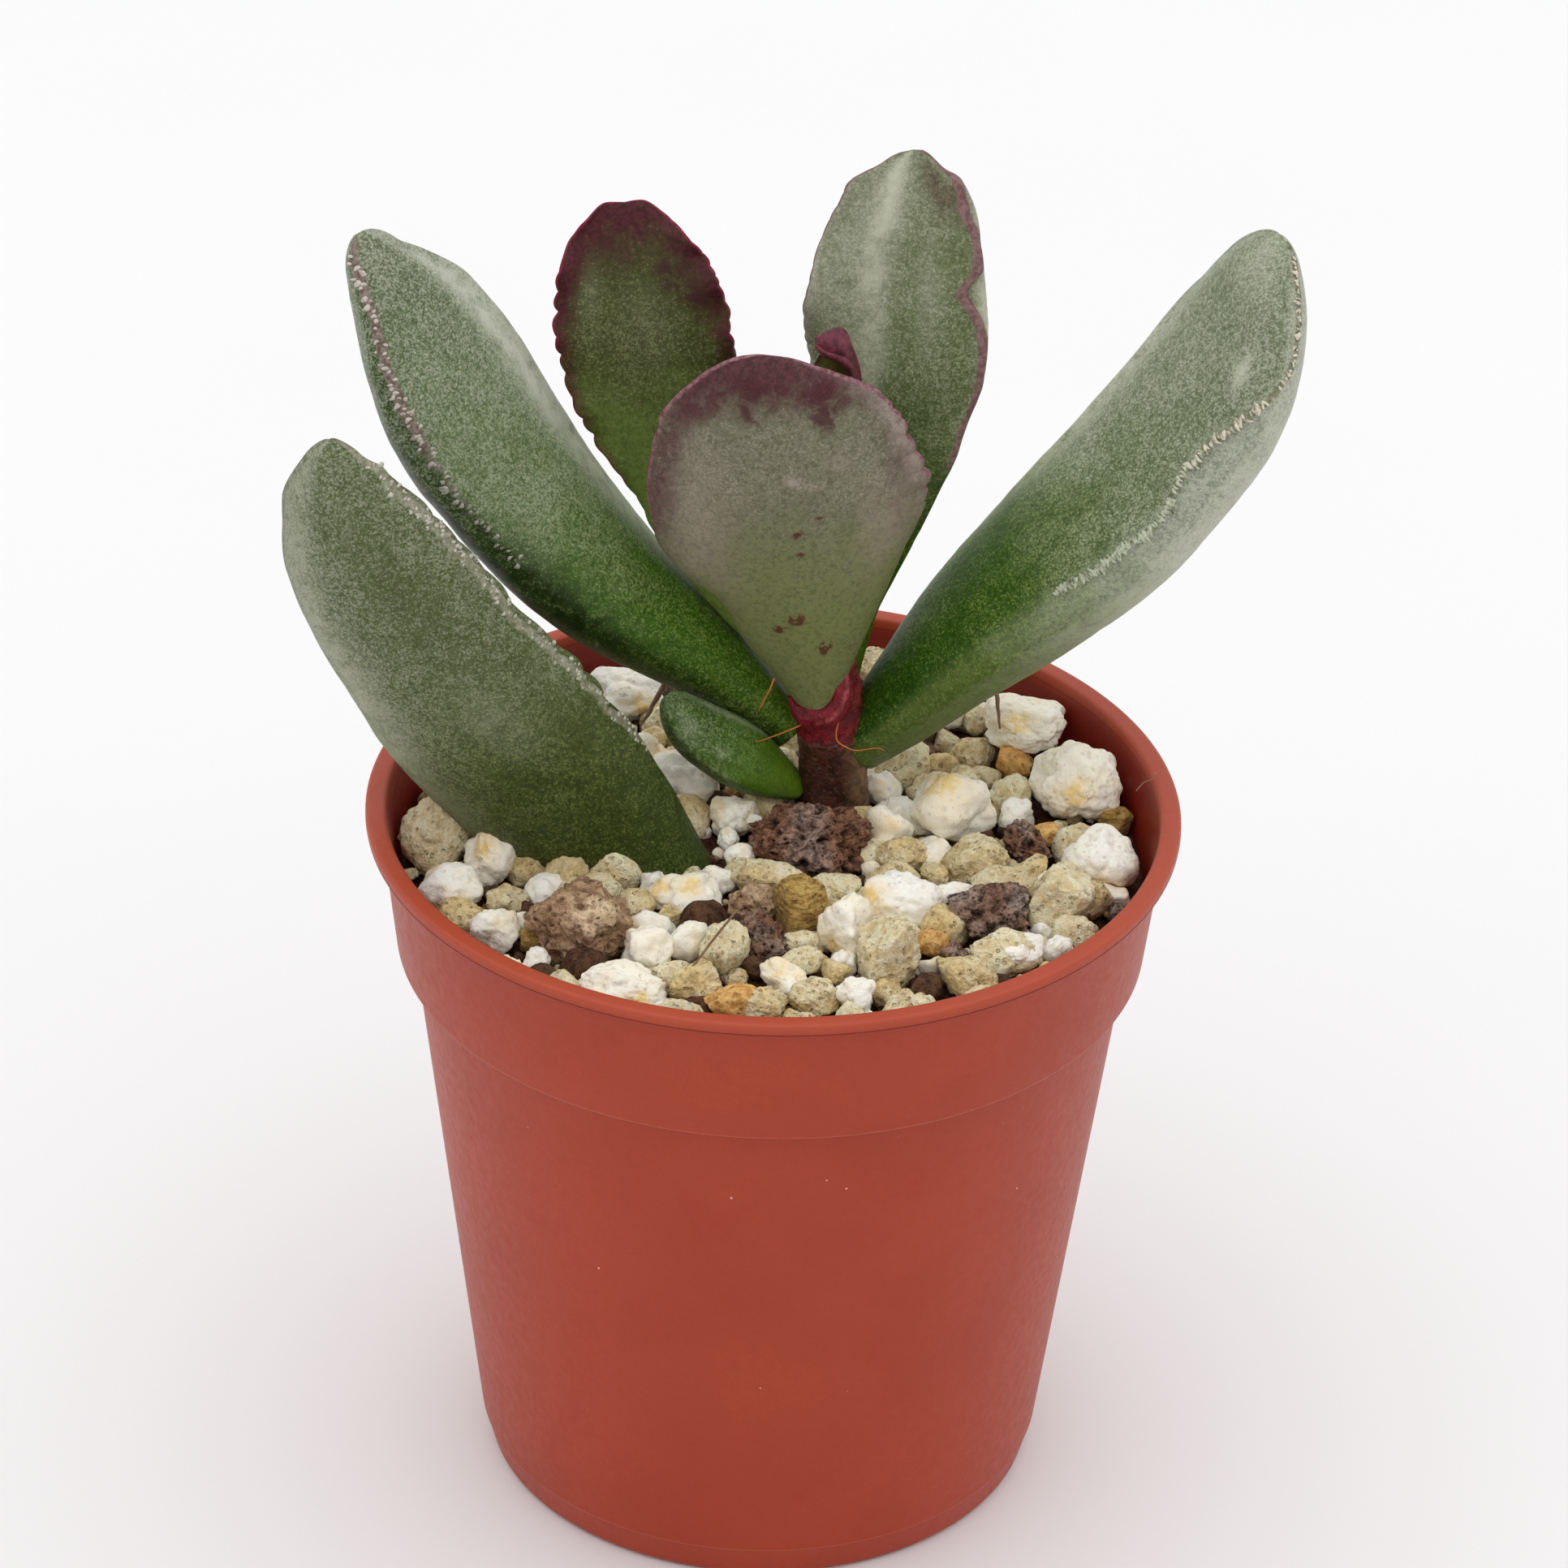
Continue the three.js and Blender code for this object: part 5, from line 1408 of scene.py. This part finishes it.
def make_leaf(name, spec, seed):
    leaf = Leaf(spec, seed)
    look = PLAIN_LOOK | LEAF_LOOKS[name]
    mesh = make_mesh(name + "_skin", leaf.points(), loft_faces(len(leaf.t), LEAF_SIDES))
    add_attributes(mesh, **leaf.marks())
    add_piece(name + "_skin", mesh, leaf_material(name, look), [name])
    parts = leaf.knobs()
    if parts:
        mesh = join_parts(name + "_knobs", parts)
        add_attributes(mesh, along=np.concatenate([places for _, _, places in parts]))
        add_piece(name + "_knobs", mesh, knob_material(name, look))


def make_knobs(crest, outward, t, length, numbers, seed):
    """Small crusts of uneven shape on a margin: lists of points and faces, and each point's place along."""
    low, high, pitch, half_width, half_length, scatter = numbers
    directions, faces = ball(3 if half_length > LONG_KNOB else 2)
    random = random_from(seed)
    points, all_faces, places = [], [], []
    place_at = low

    def read(lines, place):
        return np.array([np.interp(place, t, lines[:, k]) for k in range(3)])

    while place_at < high:
        size = draw(random, *KNOB_SIZES, 1.5)
        turn = KNOB_TURN * (next(random) - 0.5)
        slide = 2 * scatter * (next(random) - 0.5)
        height = draw(random, *KNOB_HEIGHTS)
        gap = pitch * draw(random, *KNOB_GAPS)
        if next(random) < KNOB_WIDE_GAP[0]:
            gap = gap * KNOB_WIDE_GAP[1]
        middle = read(crest, place_at)
        along = unit(read(crest, min(place_at + 0.01, 1)) - middle)
        up = read(outward, place_at)
        up = unit(up - (up @ along) * along)
        across = np.cross(along, up)
        first = math.cos(turn) * along + math.sin(turn) * across
        second = math.cos(turn) * across - math.sin(turn) * along
        uneven = 1 + KNOB_UNEVEN * noise(directions * 1.1 + 7 * next(random), seed)
        half = np.array([half_width, half_length, height * half_width])
        shape = directions * half * size * uneven[:, None]
        shape[:, 2] -= KNOB_DROOP * shape[:, 1] ** 2 / half_length + KNOB_SUNK * half_width
        shape[:, 0] += KNOB_BEND * shape[:, 1] ** 2 / half_length * (next(random) - 0.5)
        points.append(shape @ np.stack([first, second, up]) + middle + across * slide)
        all_faces.append(faces)
        places.append(np.full(len(shape), place_at))
        place_at += gap / length
    return points, all_faces, np.concatenate(places)


def join_parts(name, parts):
    """One mesh of many small closed shapes."""
    points = [p for part in parts for p in part[0]]
    faces = [f for part in parts for f in part[1]]
    starts = np.cumsum([0] + [len(p) for p in points[:-1]])
    return make_mesh(name, np.vstack(points), [np.vstack([f + start for f, start in zip(faces, starts)])])


def ribbon(line_a, line_b, thickness, rings=60, sides=32):
    """A closed band between two lines, thickest in the middle, and how far each point is from its middle."""
    t = np.linspace(0, 1, rings)
    a, _ = catmull(line_a, t)
    b, _ = catmull(line_b, t)
    middle = 0.5 * (a + b)
    reach = 0.5 * (a - b)
    along = unit(np.gradient(middle, axis=0))
    outward = unit(np.cross(reach, along))
    turn = turns(sides)
    depth = evenly(thickness, t)
    skin = middle[:, None] + reach[:, None] * np.cos(turn)[None, :, None]
    skin += outward[:, None] * (np.sin(turn)[None] * depth[:, None])[..., None]
    points = np.vstack([middle[:1], skin.reshape(-1, 3), middle[-1:]])
    off = np.concatenate([[1], np.tile(np.abs(np.cos(turn)), rings), [1]])
    return points, loft_faces(rings, sides), off


def make_hood():
    """The folded tip of the young leaf."""
    look = LEAF_LOOKS["young_leaf"]
    s = Shader("young_hood")
    mottle = s.noise(1.6, 3.0, 0.6)
    colour = s.between(s.band(mottle, 0.3, 0.7), (74, 20, 34), (118, 50, 64))
    colour = s.tint(colour, s.times(s.band(s.noise(5.2, 2.0), 0.55, 0.7), 0.3), look["fleck"])
    material = s.finish(colour, 0.42, s.bump(mottle, 0.06), Specular_IOR_Level=0.4)
    points, faces, _ = ribbon(HOOD_TOP, HOOD_LIP, HOOD_THICKNESS)
    add_piece("young_leaf_hood", make_mesh("young_leaf_hood", points, faces), material)
    points, faces = tube(HOOD_LIP, LIP_THICKNESS, 60, 20)
    add_piece("young_leaf_lip", make_mesh("young_leaf_lip", points, faces), material)


# Stem, roots and fibres

def make_stem():
    t = np.linspace(0, 1, STEM_RINGS)
    place, _ = catmull(STEM_LINE, t)
    radius = evenly(STEM_RADII, t)
    turn = turns(STEM_SIDES)
    arm = np.stack([np.cos(turn), np.sin(turn), np.zeros(STEM_SIDES)], axis=-1)
    skin = (place[:, None] + arm[None] * radius[:, None, None]).reshape(-1, 3)
    outward = np.tile(arm, (STEM_RINGS, 1))
    height = np.repeat(place[:, 2], STEM_SIDES)
    wrinkles = 0.16 * fractal(skin * np.array([0.8, 0.8, 0.5]), 3) + 0.07 * fractal(skin * 2.2, 4)
    scar = SCAR_SIZE * np.exp(-((height - SCAR_HEIGHT - 0.25 * noise(skin * 0.5, 9)) / SCAR_WIDTH) ** 2)
    skin = skin + outward * (wrinkles + scar)[:, None]
    start = place[:1] - np.array([[0, 0, STEM_END]])
    end = place[-1:] + np.array([[0, 0, STEM_END]])
    points = np.vstack([start, skin, end])
    material = stem_material()
    mesh = make_mesh("stem_skin", points, loft_faces(STEM_RINGS, STEM_SIDES))
    # Painted light: how much each point faces +x, the lit side of the stem
    tan = smoothstep(0.2, 0.95, np.concatenate([[0], outward[:, 0], [0]]))
    add_attributes(mesh, height=points[:, 2], streak=0, tan=tan)
    add_piece("stem_skin", mesh, material, ["stem"])

    points, faces, off = ribbon(FORK_UPPER, FORK_LOWER, FORK_THICKNESS, 80, 40)
    points = jittered(points, 0.07, 1.3, 60)
    mesh = make_mesh("stem_fork", points, faces)
    streak = smoothstep(0.3, 0.05, off) * smoothstep(2.4, 3.8, points[:, 0])
    add_attributes(mesh, height=np.maximum(points[:, 2], 53.5), streak=streak, tan=0)
    add_piece("stem_fork", mesh, material)


def make_fibres():
    root = dry_material("dry_root", 1.5, (222, 132, 56), (168, 88, 34), 0.55)
    fibre = dry_material("dry_fibre", 2.0, (150, 118, 82), (92, 64, 42), 0.75)
    for group, material, slot in ((ROOTS, root, "stem"), (FIBRES, fibre, "bark")):
        for name, (line, thickness) in group.items():
            points, faces = tube(line, (thickness, 0.9 * thickness, 0.45 * thickness), 40, 10)
            points = jittered(points, 0.3 * thickness, 1.5, 80)
            add_piece(name, make_mesh(name, points, faces), material)


# Stones and mix

def stone_reach(kind, seed, directions):
    """How far a stone reaches along each direction, as a share of its half sizes."""
    random = random_from(seed)
    round_kind = kind == "perlite"
    features = []
    for _ in range(LOBE_COUNT if round_kind else FACE_COUNT):
        axis = random_direction(random)
        features.append((axis, next(random)))
    if round_kind:
        reach = np.full(len(directions), ROUND_CORE)
        for axis, size in features:
            reach += LOBE_SIZE * size * np.maximum(directions @ axis, 0) ** LOBE_SHARPNESS
        return reach
    limits = [np.full(len(directions), CORNER_REACH)]
    for axis, size in features:
        limits.append((FACE_NEAREST + FACE_RANGE * size) / np.maximum(directions @ axis, STEEPEST))
    soft = sum(np.exp(-limit / EDGE_SOFTNESS) for limit in limits)
    return -EDGE_SOFTNESS * np.log(soft)


def box_reach(directions):
    """How far a turned block reaches along each direction."""
    cosine, sine = math.cos(BARK_TURN), math.sin(BARK_TURN)
    turned = directions @ np.array([[cosine, -sine, 0], [sine, cosine, 0], [0, 0, 1]])
    return BARK_BOX / np.abs(turned).max(axis=1)


def uneven_tone(tone, directions, seed):
    """A stone's tone from 0 to 1, which changes a little over it."""
    return np.clip(tone + TONE_SWING * noise(directions * 1.3, seed), 0, 1)


def lumps(directions, count, random):
    """Rounded lumps with creases between them, from 0 in the creases to 1 on top."""
    axes = np.array([random_direction(random) for _ in range(count)])
    away = np.sqrt(np.maximum(2 - 2 * (directions @ axes.T), 0)).min(axis=1)
    return 1 - np.minimum(away * math.sqrt(count) / 2, 1.2) ** 2


def pits(directions, numbers, random):
    """How deep in a pit each point lies, from 0 to 1, and how far the pits draw it in."""
    count, smallest, largest, depth = numbers
    pit = np.zeros(len(directions))
    drawn_in = np.zeros(len(directions))
    for _ in range(count):
        axis = random_direction(random)
        radius = draw(random, smallest, largest - smallest, 2)
        away = np.linalg.norm(directions - axis, axis=1) / radius
        hollow = np.where(away < 1, (1 - np.minimum(away, 1) ** 2) ** 2, 0)
        pit = np.maximum(pit, hollow)
        drawn_in = drawn_in + depth * radius / largest * hollow
    return pit, drawn_in


def stone_skin(kind, x, y, half_width, half_height, extra, seed, subdivisions, turn=0.0, stretch=1.0):
    """Points, faces and how deep in a pit each point lies."""
    directions, faces = ball(subdivisions)
    relief = STONE_RELIEF[kind]
    fine = subdivisions >= PITTED_FROM
    random = random_from(seed + CHIP_SEED)
    reach = stone_reach(kind, seed, directions)
    for _ in range(relief["chips"]):
        axis = random_direction(random)
        limit = draw(random, *CHIP_REACH) / np.maximum(directions @ axis, STEEPEST)
        reach = np.minimum(reach, limit)
    if kind == "bark":
        reach = np.minimum(reach, box_reach(directions))
    for count, height in relief["lumps"]:
        if fine or count < MANY_LUMPS:
            reach = reach + height * (lumps(directions, count, random) - 0.6)
    for scale, height in relief["rough"]:
        reach = reach + height * fractal(directions * scale + seed, seed + 7, 3)
    pit = np.zeros(len(directions))
    if fine:
        pit, drawn_in = pits(directions, relief["pits"], random_from(seed + PIT_SEED))
        reach = reach - drawn_in
    half = np.array([half_width, 0.5 * (half_width + half_height), half_height])
    level = MIX_LEVEL + STONE_RISE + STONE_LIFT * half_height + extra
    points = directions * half * reach[:, None] * np.array([stretch, 1 / stretch, 1])
    turned = np.array([[math.cos(turn), math.sin(turn)], [-math.sin(turn), math.cos(turn)]])
    flat = points[:, :2] @ turned
    points = np.column_stack([flat, points[:, 2]]) + np.array([x, y, level])
    return keep_inside(points), faces, pit


def wall_radius(height):
    """Radius of the pot's inside at that height."""
    radii, heights = np.transpose(inner_wall())
    return np.interp(height, heights, radii)


def keep_inside(points):
    """Points drawn in from the pot's wall, where they would cross it."""
    limit = wall_radius(points[:, 2]) - WALL_GAP
    reach = np.hypot(points[:, 0], points[:, 1])
    scale = np.where(reach > limit, limit / np.maximum(reach, 1e-6), 1)
    points = points.copy()
    points[:, :2] *= scale[:, None]
    return points


# Yellow stains on stones: direction in which they lie, and their reach
STAINED = {
    "perlite_1": [((-0.1, -0.8, 0.35), 0.6)],
    "perlite_2": [((-0.3, -0.2, 0.95), 0.75)],
    "perlite_3": [((-0.9, -0.4, 0.3), 0.8)],
    "perlite_4": [((0.1, -0.9, -0.3), 0.6)],
    "perlite_5": [((0.5, -0.8, 0.3), 0.5)],
    "perlite_7": [((0.5, -0.8, 0.2), 0.6)],
    "perlite_8": [((-0.2, -0.6, 0.7), 0.6)],
    "perlite_9": [((-0.4, -0.9, -0.2), 0.6)],
    "perlite_10": [((-0.9, -0.3, 0.5), 0.6), ((0.1, -0.6, 0.8), 0.5)],
    "perlite_12": [((-0.2, -0.4, 0.9), 0.7)],
    "perlite_13": [((-0.2, -0.8, -0.4), 0.7)],
    "rose_1": [((0.2, -0.6, 0.6), 0.5)],
}


def stain_mask(name, directions):
    """How strongly each point of a stone is stained."""
    mask = np.zeros(len(directions))
    for axis, reach in STAINED.get(name, []):
        away = np.linalg.norm(directions - unit(np.array(axis)), axis=1)
        mask = np.maximum(mask, np.exp(-(away / reach) ** 2))
    return mask


def make_named_stones(materials):
    """The stones that have a node of their own in the part, one piece for each."""
    counts = {}
    for number, (kind, x, y, half_width, half_height, *rest) in enumerate(STONES[:NAMED_STONES]):
        counts[kind] = counts.get(kind, 0) + 1
        node = f"{kind}_{counts[kind]}"
        subdivisions = 6 if half_width > LARGE_STONE else 5
        points, faces, pit = stone_skin(kind, x, y, half_width, half_height, sum(rest), number + 1,
                                        subdivisions)
        mesh = make_mesh(node + "_stone", points, [faces])
        directions = ball(subdivisions)[0]
        tone = uneven_tone(next(random_from(NAMED_TONE_SEED + number)), directions, number)
        add_attributes(mesh, pit=pit, tone=tone, stain=stain_mask(node, directions))
        add_piece(node + "_stone", mesh, materials[kind], [node])


def pick_kind(kinds, random):
    number = next(random)
    return next(kind for kind, share in kinds if number <= share)


def scattered(random):
    """A place drawn evenly over the mix, and how far it is from the middle."""
    reach = FILL_REACH * math.sqrt(next(random))
    turn = 2 * math.pi * next(random)
    return reach * math.cos(turn), reach * math.sin(turn), reach


def fill_stones(stones):
    """Further stones wherever there is room between the others."""
    random = random_from(FILL_SEED)
    placed = [(x, y, half_width) for _, x, y, half_width, *_ in stones] + KEPT_CLEAR
    found = []
    for size in FILL_SIZES:
        for _ in range(FILL_TRIES):
            x, y, reach = scattered(random)
            half_width = size * draw(random, *FILL_SPREAD)
            kind = pick_kind(FILL_KINDS, random)
            flatness = draw(random, *FILL_FLATNESS)
            if reach + 0.8 * half_width > FILL_REACH:
                continue
            if all(math.hypot(x - px, y - py) > FILL_CLOSENESS * (half_width + pr) for px, py, pr in placed):
                placed.append((x, y, half_width))
                found.append((kind, x, y, half_width, flatness * half_width, FILL_DEPTH))
    return found


def grit():
    """Small grains strewn all over."""
    random = random_from(GRIT_SEED)
    grains = []
    for _ in range(GRIT_TRIES):
        x, y, _ = scattered(random)
        size = draw(random, *GRIT_SIZES, 2)
        kind = pick_kind(GRIT_KINDS, random)
        grains.append((kind, x, y, size, GRIT_FLATNESS * size, -draw(random, *GRIT_DEPTH)))
    return grains


def small_subdivisions(kind, half_width, listed):
    """How often the ball that a small stone is made from is divided."""
    steps = 2 + (half_width > TINY_STONE) + (half_width > SMALL_STONE and kind != "soil")
    return steps + (listed and half_width > MIDDLE_STONE)


def make_small_stones(materials):
    """The stones with no node of their own, as one piece for each kind, with the grit."""
    groups = {}
    for first_seed, stones in (
        (NAMED_STONES + 1, STONES[NAMED_STONES:] + SMALL_STONES),
        (FILL_FIRST_SEED, fill_stones(STONES + SMALL_STONES)),
        (GRIT_FIRST_SEED, grit()),
    ):
        for seed, (kind, x, y, half_width, half_height, *rest) in enumerate(stones, first_seed):
            subdivisions = small_subdivisions(kind, half_width, first_seed == NAMED_STONES + 1)
            random = random_from(seed + TURN_SEED)
            tone = next(random)
            turn = 2 * math.pi * next(random)
            stretch = draw(random, 0.85, 0.4)
            points, faces, pit = stone_skin(kind, x, y, half_width, half_height, sum(rest), seed,
                                            subdivisions, turn, stretch)
            tone = uneven_tone(tone, ball(subdivisions)[0], seed)
            groups.setdefault(kind, []).append(([points], [faces], np.stack([pit, tone])))
    for kind, parts in groups.items():
        mesh = join_parts("small_" + kind, parts)
        pit, tone = np.hstack([marks for _, _, marks in parts])
        add_attributes(mesh, pit=pit, tone=tone, stain=0.6 * smoothstep(0.55, 1, tone))
        add_piece("small_" + kind, mesh, materials[kind])


def make_soil(material):
    """The bed of soil under the stones, down to the pot's floor."""
    floor, ledge, collar, _ = inner_wall()
    top_radius = wall_radius(SOIL_LEVEL) - 0.08
    rings = [(0, FLOOR + MIX_GAP), (floor[0] - MIX_GAP, FLOOR + MIX_GAP)]
    rings += [(radius - MIX_GAP, height) for radius, height in (ledge, collar)]
    rings += [(top_radius * (1 - i / SOIL_RINGS), SOIL_LEVEL) for i in range(SOIL_RINGS)]
    rings.append((0, SOIL_LEVEL))
    points = lathe_points(rings, SOIL_SIDES)
    on_top = points[:, 2] > SOIL_LEVEL - 0.01
    bumps = SOIL_ROUGHNESS * fractal(points * 0.45, 5, 4)
    points[on_top, 2] += bumps[on_top] - SOIL_SUNK
    mesh = make_mesh("soil_bed", points, loft_faces(len(rings) - 2, SOIL_SIDES))
    add_attributes(mesh, pit=0, tone=0, stain=0)
    add_piece("soil_bed", mesh, material, ["potting_mix"])


# Stage, light and camera

def make_stage():
    points = FLOOR_REACH * np.array([(-1, -1, 0), (1, -1, 0), (1, 1, 0), (-1, 1, 0)])
    floor = add_object("floor", make_mesh("floor", points, [np.array([[0, 1, 2, 3]])]))
    s = Shader("white_paper")
    colour = s.between(s.noise(0.02, 3.0), (237, 237, 238), (240, 240, 241))
    paper = s.finish(colour, 0.8, s.bump(s.noise(1.5, 3.0), 0.01), Specular_IOR_Level=0.2)
    floor.data.materials.append(paper)

    world = bpy.data.worlds.new("white_room")
    bpy.context.scene.world = world
    world.use_nodes = True
    background = world.node_tree.nodes["Background"]
    background.inputs["Color"].default_value = (1, 1, 1, 1)
    background.inputs["Strength"].default_value = ROOM_BRIGHTNESS
    bpy.context.scene.view_settings.view_transform = "Standard"


def make_light():
    light = bpy.data.lights.new("key", "AREA")
    light.shape = "SQUARE"
    light.size = LIGHT_SIZE * MM
    light.energy = LIGHT_POWER
    holder = add_object("key", light)
    holder.location = Vector(LIGHT_PLACE) * MM
    aim = Vector(LIGHT_TARGET) - Vector(LIGHT_PLACE)
    holder.rotation_euler = aim.to_track_quat("-Z", "Y").to_euler()


def make_camera():
    slope = math.radians(CAMERA_SLOPE)
    roll = math.radians(CAMERA_ROLL)
    right = Vector((1, 0, 0))
    up = Vector((0, math.sin(slope), math.cos(slope)))
    back = Vector((0, -math.cos(slope), math.sin(slope)))
    across = math.cos(roll) * right + math.sin(roll) * up
    upright = -math.sin(roll) * right + math.cos(roll) * up
    turn = Matrix((across, upright, back)).transposed().to_4x4()
    data = bpy.data.cameras.new("camera")
    data.lens = CAMERA_LENS
    data.sensor_width = SENSOR_WIDTH
    data.clip_start, data.clip_end = CAMERA_RANGE
    camera = add_object("camera", data)
    camera.matrix_world = Matrix.Translation(Vector(CAMERA_PLACE) * MM) @ turn
    bpy.context.scene.camera = camera


make_camera()
make_stage()
make_light()

make_pot()
make_stem()
for index, (leaf_name, leaf_spec) in enumerate(LEAVES.items()):
    make_leaf(leaf_name, leaf_spec, LEAF_SEED_STEP * (index + 1))
make_hood()
make_fibres()
stone_materials = {kind: stone_material(kind) for kind in STONE_RELIEF}
make_named_stones(stone_materials)
make_small_stones(stone_materials)
make_soil(stone_materials["soil"])
